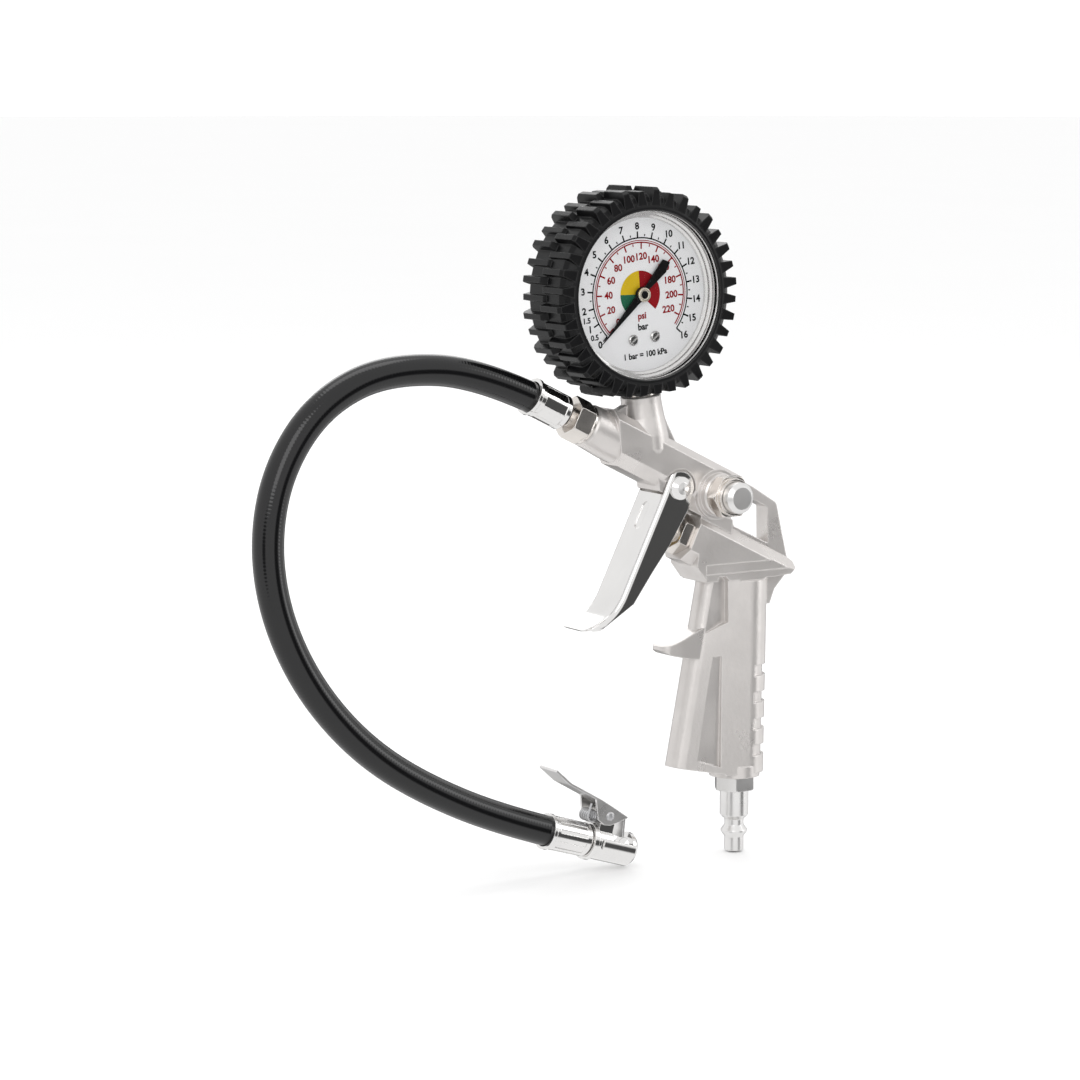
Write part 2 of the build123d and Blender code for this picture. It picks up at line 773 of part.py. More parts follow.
# The hose's route in the gun's plane of symmetry: corners that tangent arcs round off.
HOSE_CORNERS = (
    (-153.3, 193.9),
    (-180.0, 183.0),
    (-196.8, 161.8),
    (-203.1, 136.3),
    (-199.8, 109.3),
    (-187.5, 82.6),
    (-167.8, 59.1),
    (-142.7, 40.8),
)
hose_route = [tilt_point(HOSE_START_S, BARREL_N), tilt_point(HOSE_START_S - 36.9, BARREL_N)]
hose_route += [Vector(x, 0, z) for x, z in HOSE_CORNERS]
hose_route += [chuck_point(HOSE_END_T - 35.5, 0), chuck_point(HOSE_END_T, 0)]


def bend_radii(route):
    """The radius at each corner: 0.45 of the shorter run over the tangent of half the turn."""
    radii = []
    for before, corner, after in zip(route, route[1:], route[2:]):
        run_in = corner - before
        run_out = after - corner
        half_turn = radians(run_in.get_angle(run_out)) / 2
        radii.append(0.45 * min(run_in.length, run_out.length) / tan(half_turn))
    return radii


hose_radii = bend_radii(hose_route)

with BuildPart() as hose:
    with BuildLine() as hose_path:
        FilletPolyline(*hose_route, radius=hose_radii)
    with BuildSketch(Plane(origin=hose_route[0], x_dir=RISE, z_dir=ALONG * -1)):
        Circle(HOSE_R)
        Circle(HOSE_BORE_R, mode=Mode.SUBTRACT)
    sweep()
keep(hose, "hose")

hose_length = sum(edge.length for edge in hose_path.edges())
hose_section = pi * (HOSE_R**2 - HOSE_BORE_R**2)
print("hose bend radii", [round(radius, 1) for radius in hose_radii])
hose_ratio = hose.part.volume / (hose_section * hose_length)
print(f"hose length {hose_length:.1f}, volume over section times length {hose_ratio:.4f}")

# ---------------------------------------------------------------- clip-on chuck

MOUTH_T = 39.3
MOUTH_R = 4.1
WINDOW_M = 2.0
CHUCK_NECK_R = 3.6

with BuildPart() as chuck_ferrule:
    add(
        turned(
            CHUCK_SPIN,
            (HOSE_R + FIT, 0),
            (6.9, 0),
            (6.9, 1.4),
            (6.5, 1.8),
            (6.4, 17.6),
            (5.9, 18.4),
            (CHUCK_NECK_R + FIT, 18.4),
            (CHUCK_NECK_R + FIT, HOSE_END_T + 0.1),
            (HOSE_R + FIT, HOSE_END_T + 0.1),
        )
    )
    with BuildSketch(Plane(origin=chuck_point(3.2, 0), x_dir=CHUCK_UP, z_dir=CHUCK_ALONG)):
        with PolarLocations(CRIMP_R + 0.8, 12, start_angle=15):
            Rectangle(2.0, 1.5)
    extrude(amount=12.5, mode=Mode.SUBTRACT)
keep(chuck_ferrule, "chuck_ferrule")

with BuildPart() as chuck_body:
    add(
        turned(
            CHUCK_SPIN,
            (0, 2.5),
            (2.6, 2.5),
            (HOSE_BORE_R - FIT, 3.2),
            (HOSE_BORE_R - FIT, HOSE_END_T + 0.1),
            (CHUCK_NECK_R, HOSE_END_T + 0.1),
            (CHUCK_NECK_R, 18.6),
            (7.25, 18.6),
            (7.25, 20.6),
            (CHUCK_R, 20.6),
            (CHUCK_R, MOUTH_T - 1.2),
            (CHUCK_R - 0.9, MOUTH_T),
            (0, MOUTH_T),
        )
    )
    # The lug between the lever's ears, round about the pivot.
    add(slab(CHUCK, -4.5, 4.5, (20.6, 0), (20.6, 10.2), (20.9, 11.0), (25.3, 11.0), (27.0, 8.0), (27.0, 0)))
    add(rod(CHUCK_PIN_SPIN, 2.45, -4.5, 4.5))
    add(rod(CHUCK_PIN_SPIN, 1.2 + FIT, -5.0, 5.0), mode=Mode.SUBTRACT)
    # The air way, the gasket's pocket, the mouth and the window for the lever's claw.
    add(rod(CHUCK_SPIN, 1.8, 2.0, 23.0), mode=Mode.SUBTRACT)
    add(rod(CHUCK_SPIN, 4.9, 22.3, 27.0), mode=Mode.SUBTRACT)
    add(rod(CHUCK_SPIN, 4.5, 26.0, 30.0), mode=Mode.SUBTRACT)
    add(rod(CHUCK_SPIN, MOUTH_R, 29.0, MOUTH_T + 1.0), mode=Mode.SUBTRACT)
    add(
        slab(CHUCK, -8.0, 8.0, (27.4, WINDOW_M), (27.4, 9.0), (36.5, 9.0), (36.5, WINDOW_M)),
        mode=Mode.SUBTRACT,
    )
    add(slab(CHUCK, 6.0, 8.0, (22.2, -1.6), (22.2, 1.6), (23.4, 1.6), (23.4, -1.6)), mode=Mode.SUBTRACT)
    # The hole that the lever spring's fixed leg sits in.
    leg_hole = chuck_point(20.0, 7.55) - FRONT * 2.83
    with BuildSketch(Plane(origin=leg_hole, x_dir=CHUCK_UP, z_dir=CHUCK_ALONG)):
        Circle(0.6)
    extrude(amount=2.4, mode=Mode.SUBTRACT)
keep(chuck_body, "chuck_body")

with BuildPart() as chuck_gasket:
    add(ring(CHUCK_SPIN, 4.85, 2.0, 24.1, 26.9))
keep(chuck_gasket, "chuck_gasket")

with BuildPart() as valve_depressor:
    add(
        turned(
            CHUCK_SPIN,
            (0, 22.35),
            (4.85, 22.35),
            (4.85, 24.0),
            (0.9, 24.0),
            (0.9, 28.2),
            (0.5, 28.8),
            (0, 28.8),
        )
    )
    with BuildSketch(Plane(origin=chuck_point(22.0, 0), x_dir=CHUCK_UP, z_dir=CHUCK_ALONG)):
        with PolarLocations(1.6, 3):
            Circle(0.6)
    extrude(amount=3.0, mode=Mode.SUBTRACT)
keep(valve_depressor, "valve_depressor")

LEVER_BACK = ((-5.3, 23.5), (2.5, 19.9), (18.2, 16.3), (31.1, 12.3))
CLAW = ((30.1, 12.6), (31.4, 12.2), (33.0, 4.3))


def strip(half, *line):
    """A bent strip of the lever's sheet, with the sheet's thickness below its outer line."""
    with BuildPart() as bent:
        with BuildSketch(CHUCK.offset(-half)):
            with BuildLine() as outer:
                Polyline(*line)
                offset(outer.line, amount=LEVER_SHEET, kind=Kind.INTERSECTION, side=Side.RIGHT)
            make_face()
        extrude(amount=2 * half)
    return bent.part


with BuildPart() as chuck_lever:
    # One pressing: the thumb tab, the back, the claw that holds the tyre valve and two ears.
    add(strip(LEVER_HALF, *LEVER_BACK))
    add(strip(4.0, *CLAW))
    for side in (-LEVER_HALF, LEVER_HALF - LEVER_SHEET):
        add(
            slab(
                CHUCK,
                side,
                side + LEVER_SHEET,
                (31.1, 12.3),
                (30.6, 11.6),
                (27.0, 9.2),
                (24.1, 7.6),
                (21.6, 7.3),
                (18.2, 8.7),
                (14.6, 17.1),
                (18.2, 16.3),
            )
        )
    add(rod(CHUCK_PIN_SPIN, 1.22, -7.0, 7.0), mode=Mode.SUBTRACT)
keep(chuck_lever, "chuck_lever")

with BuildPart() as lever_pin:
    add(
        turned(
            CHUCK_PIN_SPIN,
            (0, -6.7),
            (1.3, -6.5),
            (1.8, -LEVER_HALF),
            (1.2, -LEVER_HALF),
            (1.2, LEVER_HALF),
            (1.8, LEVER_HALF),
            (1.3, 6.5),
            (0, 6.7),
        )
    )
keep(lever_pin, "lever_pin")

with BuildPart() as lever_spring:
    coil_foot = chuck_point(17.0, 9.6) - FRONT * 2.9
    add(coil(spindle(coil_foot, FRONT, CHUCK_UP * -1), 2.05, 0.9, 1.35, 17, 3.9, 4.6))
keep(lever_spring, "lever_spring")

# ---------------------------------------------------------------- gauge: case, glass and boot

CASE_WALL = 1.0
CASE_BACK_H = -14.0
CASE_RIM_H = 8.6
DIAL_H = 5.6  # the dial's printed face
GLASS_H = 9.4  # the glass's inner face
GLASS_FRONT_H = 10.9
BEZEL_R = 34.0
BEZEL_LIP_R = 31.0
BEZEL_SKIRT_H = 5.3
BOOT_BASE_R = 37.2
BOOT_LIP_R = 31.6
LUG_ROOT_R = 33.0
LUG_ROOT_HALF = 2.2
LUG_TIP_HALF = 1.1

with BuildPart() as gauge_case:
    add(
        turned(
            DIAL_SPIN,
            (0, CASE_BACK_H),
            (CASE_R - 1.0, CASE_BACK_H),
            (CASE_R, CASE_BACK_H + 1.0),
            (CASE_R, CASE_RIM_H),
            (CASE_R - CASE_WALL, CASE_RIM_H),
            (CASE_R - CASE_WALL, CASE_BACK_H + CASE_WALL),
            (0, CASE_BACK_H + CASE_WALL),
        )
    )
    add(rod(PORT_SPIN, 4.95, 5.0, 11.0), mode=Mode.SUBTRACT)
    with BuildSketch(DIAL.offset(CASE_BACK_H - 1.0)):
        with Locations((-3.8, -26.0), (3.8, -26.0)):
            Circle(1.25)
    extrude(amount=3.0, mode=Mode.SUBTRACT)
keep(gauge_case, "gauge_case")

with BuildPart() as glass_spacer:
    add(
        turned(
            DIAL_SPIN,
            (28.5, DIAL_H),
            (31.9, DIAL_H),
            (31.9, GLASS_H),
            (30.9, GLASS_H),
            (30.8, 8.1),
            (29.8, 7.8),
            (29.7, 6.8),
            (28.6, 6.5),
        )
    )
keep(glass_spacer, "glass_spacer")

with BuildPart() as glass_gasket:
    add(ring(DIAL_SPIN, CASE_R, 32.1, CASE_RIM_H, GLASS_H))
keep(glass_gasket, "glass_gasket")

with BuildPart() as gauge_glass:
    add(rod(DIAL_SPIN, CASE_R, GLASS_H, GLASS_FRONT_H))
keep(gauge_glass, "gauge_glass")

with BuildPart() as gauge_bezel:
    add(
        turned(
            DIAL_SPIN,
            (CASE_R + FIT, BEZEL_SKIRT_H),
            (BEZEL_R, BEZEL_SKIRT_H),
            (BEZEL_R, 11.0),
            (BEZEL_R - 0.7, 11.6),
            (BEZEL_LIP_R, 11.6),
            (BEZEL_LIP_R, GLASS_FRONT_H + FIT),
            (CASE_R + FIT, GLASS_FRONT_H + FIT),
        )
    )
keep(gauge_bezel, "gauge_bezel")


def tread_row(start, end, turn, *envelope):
    """One row of the boot's tyre lugs: long and short wedges in turn, with none at the stem."""
    with BuildPart() as row:
        for first, reach in ((turn, BOOT_R), (turn + 360 / LUGS, BOOT_R - 1.4)):
            with BuildSketch(DIAL.offset(start)):
                with PolarLocations(0, LUGS // 2, start_angle=first):
                    Polygon(
                        (LUG_ROOT_R, -LUG_ROOT_HALF),
                        (reach, -LUG_TIP_HALF),
                        (reach, LUG_TIP_HALF),
                        (LUG_ROOT_R, LUG_ROOT_HALF),
                        align=None,
                    )
            extrude(amount=end - start)
        add(turned(DIAL_SPIN, *envelope), mode=Mode.INTERSECT)
        add(
            slab(DIAL, -16.0, 13.0, (-9.5, -45.0), (9.5, -45.0), (9.5, -36.9), (-9.5, -36.9)),
            mode=Mode.SUBTRACT,
        )
    return row.part


with BuildPart() as gauge_boot:
    # A rubber band shaped like a tyre: it grips the case and folds over its front and back.
    add(
        turned(
            DIAL_SPIN,
            (BOOT_LIP_R, 12.6),
            (32.6, 12.6),
            (34.2, 11.9),
            (36.2, 10.2),
            (BOOT_BASE_R, 8.0),
            (BOOT_BASE_R, -12.2),
            (35.2, -15.0),
            (31.0, -15.0),
            (31.0, -14.1),
            (33.1, -14.1),
            (33.1, BEZEL_SKIRT_H - 0.2),
            (34.15, BEZEL_SKIRT_H - 0.2),
            (34.15, 11.75),
            (BOOT_LIP_R, 11.75),
        )
    )
    add(
        tread_row(
            -2.4,
            12.5,
            0.0,
            (35.5, -2.4),
            (BOOT_R + 0.2, -0.6),
            (BOOT_R + 0.2, 10.6),
            (BOOT_R - 1.0, 12.3),
            (33.2, 12.5),
            (35.5, 8.0),
        )
    )
    add(
        tread_row(
            -14.8,
            0.4,
            180 / LUGS,
            (35.5, 0.4),
            (BOOT_R + 0.2, -1.6),
            (BOOT_R + 0.2, -13.0),
            (BOOT_R - 1.4, -14.6),
            (34.6, -14.8),
        )
    )
    add(rod(PORT_SPIN, 6.35, -1.0, 8.0), mode=Mode.SUBTRACT)
keep(gauge_boot, "gauge_boot")

# ---------------------------------------------------------------- gauge: socket and Bourdon tube

TUBE_COIL_R = 21.0
TUBE_BACK_H = -7.5
TUBE_FRONT_H = -0.5
TUBE_FROM = -100.0  # the tube's foot, in the socket
TUBE_TO = -376.0  # the tube's tip


def arc_bar(inner, outer, back, front, first, last):
    """A bar of rectangular section bent round the dial's axis, between two angles."""
    begin = DIAL_CENTRE
    radial = GAUGE_RIGHT * cos(radians(first)) + GAUGE_UP * sin(radians(first))
    plane = spindle(begin, FRONT, radial)
    with BuildPart() as bar:
        with BuildSketch(plane):
            with Locations(((inner + outer) / 2, (back + front) / 2)):
                Rectangle(outer - inner, front - back)
        revolve(axis=Axis(DIAL_CENTRE, FRONT), revolution_arc=last - first)
    return bar.part


with BuildPart() as gauge_socket:
    add(slab(DIAL, -12.9, 0.4, (-6, -31.2), (6, -31.2), (6, -19.2), (-6, -19.2)))
    # The ledge behind the movement.
    add(slab(DIAL, -12.9, -6.2, (-5, -20.0), (5, -20.0), (5, -12.0), (-5, -12.0)))
    add(
        turned(
            PORT_SPIN,
            (0, -10.0),
            (4.4, -10.0),
            (4.85, -9.4),
            (4.85, 1.2),
            (6.1, 1.2),
            (6.1, 5.9),
            (4.85, 5.9),
            (4.85, 10.0),
            (0, 10.0),
        )
    )
    add(rod(PORT_SPIN, 1.2, -11.0, 17.0), mode=Mode.SUBTRACT)
    add(arc_bar(19.75, 22.25, TUBE_BACK_H - 0.1, TUBE_FRONT_H + 0.1, -97.0, -110.0), mode=Mode.SUBTRACT)
    with BuildSketch(DIAL.offset(CASE_BACK_H)):
        with Locations((-3.8, -26.0), (3.8, -26.0)):
            Circle(1.25)
    extrude(amount=6.2, mode=Mode.SUBTRACT)
keep(gauge_socket, "gauge_socket")

with BuildPart() as port_seal:
    add(ring(PORT_SPIN, 6.1, 4.9, 0, 1.2))
keep(port_seal, "port_seal")

with BuildPart() as case_screws:
    for across in (-3.8, 3.8):
        screw_spin = spindle(DIAL_CENTRE + GAUGE_RIGHT * across - GAUGE_UP * 26.0, FRONT, GAUGE_RIGHT)
        add(rod(screw_spin, 1.2, -8.5, CASE_BACK_H))
        add(rod(screw_spin, 2.3, CASE_BACK_H - 1.3, CASE_BACK_H))
keep(case_screws, "case_screws")

with BuildPart() as bourdon_tube:
    add(arc_bar(19.9, 22.1, TUBE_BACK_H, TUBE_FRONT_H, TUBE_FROM, TUBE_TO))
    bends = bourdon_tube.edges().filter_by(GeomType.CIRCLE)
    fillet(bends, radius=1.0)
keep(bourdon_tube, "bourdon_tube")

# ---------------------------------------------------------------- gauge: movement

PLATE_OUTLINE = (
    (-9.0, -16.4),
    (-6.8, -18.3),
    (6.8, -18.3),
    (9.0, -16.4),
    (9.0, 3.0),
    (6.0, 6.0),
    (-6.0, 6.0),
    (-9.0, 3.0),
)
PILLARS = ((-7.4, 3.0), (7.4, 3.0), (-7.0, -16.2), (3.0, -17.0))
BACK_PLATE_H = -6.2
FRONT_PLATE_H = 2.2
PLATE = 1.0
SECTOR_DROP = MODULE * (TEETH_PINION + TEETH_FULL_SECTOR) / 2  # between the two gears' centres
PINION_PITCH_R = MODULE * TEETH_PINION / 2
SECTOR_PITCH_R = MODULE * TEETH_FULL_SECTOR / 2
TOOTH_ADDENDUM = 0.22
TOOTH_DEDENDUM = 0.38
ARBOR_R = 0.5
DIAL_SCREWS = ((-4.9, -16.5), (4.9, -16.5))
TAIL_R = 7.0
TAIL_ANGLE = -16.5


def dial_spindle(u, v):
    """A spindle plane square to the dial at a point of it."""
    return spindle(DIAL_CENTRE + GAUGE_RIGHT * u + GAUGE_UP * v, FRONT, GAUGE_RIGHT)


ARBOR_SPIN = dial_spindle(0, 0)
SECTOR_SPIN = dial_spindle(0, -SECTOR_DROP)
TAIL_PIN = (
    TAIL_R * cos(radians(TAIL_ANGLE)),
    -SECTOR_DROP + TAIL_R * sin(radians(TAIL_ANGLE)),
)


def plate_holes():
    """The arbor's and the sector staff's holes, through both plates."""
    with BuildPart() as holes:
        with BuildSketch(DIAL.offset(BACK_PLATE_H - 1.0)):
            with Locations((0, 0), (0, -SECTOR_DROP)):
                Circle(ARBOR_R + FIT)
        extrude(amount=12.0)
    return holes.part


with BuildPart() as movement_back_plate:
    add(slab(DIAL, BACK_PLATE_H, BACK_PLATE_H + PLATE, *PLATE_OUTLINE))
    add(plate_holes(), mode=Mode.SUBTRACT)
keep(movement_back_plate, "movement_back_plate")

with BuildPart() as movement_pillars:
    with BuildSketch(DIAL.offset(BACK_PLATE_H + PLATE)):
        with Locations(*PILLARS):
            Circle(1.1)
    extrude(amount=FRONT_PLATE_H - BACK_PLATE_H - PLATE)
keep(movement_pillars, "movement_pillars")

with BuildPart() as movement_front_plate:
    add(slab(DIAL, FRONT_PLATE_H, FRONT_PLATE_H + PLATE, *PLATE_OUTLINE))
    with BuildSketch(DIAL.offset(FRONT_PLATE_H)):
        with Locations(*DIAL_SCREWS):
            Circle(1.7)
    extrude(amount=DIAL_H - 0.6 - FRONT_PLATE_H)
    with BuildSketch(DIAL.offset(FRONT_PLATE_H - 1.0)):
        with Locations(*DIAL_SCREWS):
            Circle(0.85)
    extrude(amount=6.0, mode=Mode.SUBTRACT)
    add(plate_holes(), mode=Mode.SUBTRACT)
keep(movement_front_plate, "movement_front_plate")


def teeth(pitch_r, count, first, every):
    """Slim trapezoidal gear teeth round the origin of the current sketch."""
    height = TOOTH_ADDENDUM + TOOTH_DEDENDUM
    centre = pitch_r + (TOOTH_ADDENDUM - TOOTH_DEDENDUM) / 2
    for number in range(count):
        with PolarLocations(centre, 1, start_angle=first + every * number):
            Trapezoid(0.56, height, 72, rotation=-90)


with BuildPart() as pointer_arbor:
    add(rod(ARBOR_SPIN, ARBOR_R, -6.1, 8.9))
    add(rod(ARBOR_SPIN, 1.0, 0.6, 1.9))
    with BuildSketch(DIAL.offset(-2.4)):
        Circle(PINION_PITCH_R - TOOTH_DEDENDUM + 0.05)
        teeth(PINION_PITCH_R, TEETH_PINION, -90, 360 / TEETH_PINION)
    extrude(amount=3.0)
keep(pointer_arbor, "pointer_arbor")

SECTOR_TOOTH = 360 / TEETH_FULL_SECTOR

with BuildPart() as sector_gear:
    add(rod(SECTOR_SPIN, ARBOR_R, -6.1, 3.1))
    add(rod(SECTOR_SPIN, 1.6, -4.6, 1.6))
    with BuildSketch(Plane(origin=SECTOR_SPIN.origin + FRONT * -1.6, x_dir=GAUGE_RIGHT, z_dir=FRONT)):
        with BuildLine():
            rim = SECTOR_PITCH_R - TOOTH_DEDENDUM + 0.05
            CenterArc((0, 0), rim, 49.5, 49.5)
            Line((rim * cos(radians(99)), rim * sin(radians(99))), (-1.6, 0))
            Polyline(
                (-1.6, 0),
                (0.9, -1.6),
                (TAIL_R + 0.6, -3.0),
                (TAIL_R + 1.0, -1.4),
                (2.6, 1.2),
                (rim * cos(radians(49.5)), rim * sin(radians(49.5))),
            )
        make_face()
        teeth(SECTOR_PITCH_R, 11, 90 + SECTOR_TOOTH * 1.5, -SECTOR_TOOTH)
        with Locations((0, 0)):
            with PolarLocations(6.6, 1, start_angle=74):
                SlotOverall(5.4, 2.6, mode=Mode.SUBTRACT)
    extrude(amount=1.6)
    add(rod(dial_spindle(*TAIL_PIN), 0.5, -3.4, -1.6))
keep(sector_gear, "sector_gear")

TIP_ANGLES = (-16.4, -22.0)

with BuildPart() as tip_link:
    # The closed tip of the tube and the link that draws the sector's tail along.
    add(arc_bar(19.6, 22.4, -7.7, TUBE_FRONT_H + 0.2, *TIP_ANGLES))
    with BuildSketch(DIAL.offset(-3.2)):
        with BuildLine():
            Polyline((TAIL_PIN[0] - 1.2, TAIL_PIN[1] - 1.5), (20.6, -8.4), (20.2, -6.0), (5.6, -14.4), close=True)
        make_face()
        with Locations((TAIL_PIN[0] + 0.14, TAIL_PIN[1])):
            Circle(1.5)
            Circle(0.75, mode=Mode.SUBTRACT)
    extrude(amount=0.8)
keep(tip_link, "tip_link")

with BuildPart() as hairspring:
    with BuildSketch(DIAL.offset(0.9)):
        with BuildLine() as spiral:
            for half_turn in range(7):
                radius = 1.4 + 0.4 * half_turn
                shift = 0.4 if half_turn % 2 else 0.0
                CenterArc((shift, 0), radius, 180 * half_turn, 180)
        trace(spiral.line, line_width=0.15)
    extrude(amount=0.6)
keep(hairspring, "hairspring")

# ---------------------------------------------------------------- gauge: dial and pointer

POINTER_REST = 220.0  # the pointer's direction at zero, from the dial's right
POINTER_H = 6.6

with BuildPart() as dial_plate:
    add(rod(DIAL_SPIN, 31.9, DIAL_H - 0.6, DIAL_H))
    with BuildSketch(DIAL.offset(DIAL_H - 1.0)):
        Circle(1.2)
        with Locations(*DIAL_SCREWS):
            Circle(0.85)
    extrude(amount=2.0, mode=Mode.SUBTRACT)
keep(dial_plate, "dial_plate")

with BuildPart() as dial_screws:
    for place in DIAL_SCREWS:
        add(
            turned(
                dial_spindle(*place),
                (0, FRONT_PLATE_H + 0.3),
                (0.8, FRONT_PLATE_H + 0.3),
                (0.8, DIAL_H),
                (2.1, DIAL_H),
                (2.1, DIAL_H + 0.5),
                (1.6, DIAL_H + 0.9),
                (0, DIAL_H + 0.9),
            )
        )
    with BuildSketch(DIAL.offset(DIAL_H + 0.5)):
        with Locations(*DIAL_SCREWS):
            Rectangle(5.0, 0.6, rotation=35)
    extrude(amount=1.0, mode=Mode.SUBTRACT)
keep(dial_screws, "dial_screws")

with BuildPart() as pointer:
    with BuildSketch(Plane(origin=DIAL_CENTRE + FRONT * POINTER_H, x_dir=GAUGE_RIGHT, z_dir=FRONT)):
        with BuildLine():
            Polyline(
                (25.3, 0),
                (3.0, 1.5),
                (0, 2.2),
                (-3.4, 1.0),
                (-13.0, 2.1),
                (-17.0, 0.8),
                (-15.6, -2.2),
                (-3.4, -1.0),
                (0, -2.2),
                (3.0, -1.5),
                close=True,
            )
        make_face()
    extrude(amount=0.4)
    add(
        turned(
            ARBOR_SPIN,
            (0, POINTER_H),
            (2.8, POINTER_H),
            (2.8, POINTER_H + 0.8),
            (2.3, POINTER_H + 1.0),
            (2.2, POINTER_H + 1.5),
            (1.3, POINTER_H + 1.6),
            (1.2, 9.2),
            (0, 9.2),
        )
    )
    add(rod(ARBOR_SPIN, ARBOR_R + 0.02, POINTER_H - 1.0, 8.95), mode=Mode.SUBTRACT)
pointer.part = pointer.part.rotate(Axis(DIAL_CENTRE, FRONT), POINTER_REST)
keep(pointer, "pointer")
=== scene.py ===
import json
from math import cos, pi, radians, sin

import bpy
import numpy as np
from mathutils import Matrix, Vector


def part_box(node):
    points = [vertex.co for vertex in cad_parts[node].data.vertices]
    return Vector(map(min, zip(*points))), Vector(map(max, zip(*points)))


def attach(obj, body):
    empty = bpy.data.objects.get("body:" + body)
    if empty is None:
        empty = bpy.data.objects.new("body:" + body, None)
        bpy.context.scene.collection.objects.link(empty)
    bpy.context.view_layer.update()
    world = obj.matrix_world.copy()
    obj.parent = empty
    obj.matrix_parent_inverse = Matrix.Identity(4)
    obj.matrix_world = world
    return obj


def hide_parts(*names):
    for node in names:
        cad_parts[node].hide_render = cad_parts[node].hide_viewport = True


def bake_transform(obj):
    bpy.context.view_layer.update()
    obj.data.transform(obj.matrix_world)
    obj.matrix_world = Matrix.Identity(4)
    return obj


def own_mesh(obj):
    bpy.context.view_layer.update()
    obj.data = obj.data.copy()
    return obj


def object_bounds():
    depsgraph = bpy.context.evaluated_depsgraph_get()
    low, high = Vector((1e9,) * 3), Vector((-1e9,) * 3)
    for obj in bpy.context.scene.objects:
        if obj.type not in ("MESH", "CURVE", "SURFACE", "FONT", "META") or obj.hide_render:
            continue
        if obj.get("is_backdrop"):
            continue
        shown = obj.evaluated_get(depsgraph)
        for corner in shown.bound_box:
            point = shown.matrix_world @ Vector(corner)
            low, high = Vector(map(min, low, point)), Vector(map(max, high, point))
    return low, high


bl_info = {
    "name": "Tyre inflator looks",
    "version": (1, 0, 0),
    "blender": (4, 5, 0),
    "location": "3D View > Sidebar > Inflator",
    "description": "Hose, dial printing, finishes and stage of a tyre inflator with a gauge",
    "category": "Object",
}

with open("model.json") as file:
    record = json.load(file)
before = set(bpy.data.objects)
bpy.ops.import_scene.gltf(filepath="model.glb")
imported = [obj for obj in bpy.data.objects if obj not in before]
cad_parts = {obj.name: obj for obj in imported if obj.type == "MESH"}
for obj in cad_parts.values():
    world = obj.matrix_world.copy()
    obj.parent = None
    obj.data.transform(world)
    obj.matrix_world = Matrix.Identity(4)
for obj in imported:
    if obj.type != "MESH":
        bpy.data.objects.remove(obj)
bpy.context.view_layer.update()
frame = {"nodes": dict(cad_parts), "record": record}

# The dial's own frame: its centre, its right and up directions, and its printed face.
DIAL_LEAN = radians(6.0)
DIAL_RIGHT = Vector((cos(DIAL_LEAN), 0.0, sin(DIAL_LEAN)))
DIAL_UP = Vector((-sin(DIAL_LEAN), 0.0, cos(DIAL_LEAN)))
DIAL_LOW, DIAL_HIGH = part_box("dial_plate")
DIAL_CENTRE = Vector(((DIAL_LOW[0] + DIAL_HIGH[0]) / 2, 0.0, (DIAL_LOW[2] + DIAL_HIGH[2]) / 2))
DIAL_FACE_Y = DIAL_LOW[1]

# The hose's route in the gun's middle plane: distance along X and height, in metres.
HOSE_ROUTE = (
    (-0.079517, 0.174271),
    (-0.112600, 0.190620),
    (-0.153300, 0.193900),
    (-0.180000, 0.183000),
    (-0.196800, 0.161800),
    (-0.203100, 0.136300),
    (-0.199800, 0.109300),
    (-0.187500, 0.082600),
    (-0.167800, 0.059100),
    (-0.142700, 0.040800),
    (-0.103700, 0.022320),
    (-0.069756, 0.011942),
)

HOSE_SMOOTHNESS = 120  # points between two of the route's points
HOSE_SIDES = 40
RINGS_PER_WRAP = 6.0

# The dial's scales: where zero stands, and how far one unit turns, in degrees.
ZERO_ANGLE = 220.0
BAR_TOP = 16
BAR_STEP = 265.0 / BAR_TOP
PSI_STEP = BAR_STEP / 14.5038
PSI_SPACING = 20
BAR_VALUES = (0, 0.5, 1, 1.5) + tuple(range(2, BAR_TOP + 1))
PSI_VALUES = tuple(range(0, 221, PSI_SPACING))
PSI_END = 230.0

# The dial's printing, in metres. Marks are measured from their scale's arc or ring.
INK_HEIGHT = 0.00006
BAND_STEP = 2.0  # degrees between a band's points
LINE_HALF_WIDTH = 0.00025
MARK_WIDTH = 0.0006
SMALL_MARK_WIDTH = 0.00045
MARK_LENGTH = 0.0024
BAR_SMALL_MARK = (0.0006, 0.0014)
PSI_SMALL_MARK = (0.0013, 0.0004)
PSI_OUTER_LINE = (0.0006, 0.0009)
BAR_NUMBER_RADIUS = 0.0253
PSI_NUMBER_RADIUS = 0.0140
SMALL_NUMBERS = (0.5, 1.5)
SMALL_NUMBER_SHARE = 0.8
SECTOR_INNER_RADIUS = 0.001
SECTOR_EDGES = (219.0, 174.0, 89.0, -46.0)  # where the coloured sectors start and end, in degrees
# Words on the dial: text, across, up, height of a capital.
PSI_WORD = ("psi", 0.0, -0.0081, 0.0025)
BAR_WORDS = (("bar", 0.0, -0.0122, 0.0025), ("1 bar = 100 kPa", 0.0, -0.0226, 0.0022))
# The typeface's size and stroke swelling, as shares of a capital's height.
TYPE_SIZE = 1.38
TYPE_SWELLING = 0.045

# What polished surfaces see: an even white, and black flags that dim it. A flag is where it stands,
# the cosines of its soft edge, and the share of the white that it keeps.
MIRROR_WHITE = 0.98
DARK_FLAGS = (
    ((0.525, -0.84, -0.134), 0.95, 0.985, 0.08),
    ((-0.84, -0.525, -0.13), 0.97, 0.99, 0.15),
    ((0.525, 0.84, -0.134), 0.80, 0.95, 0.12),
)

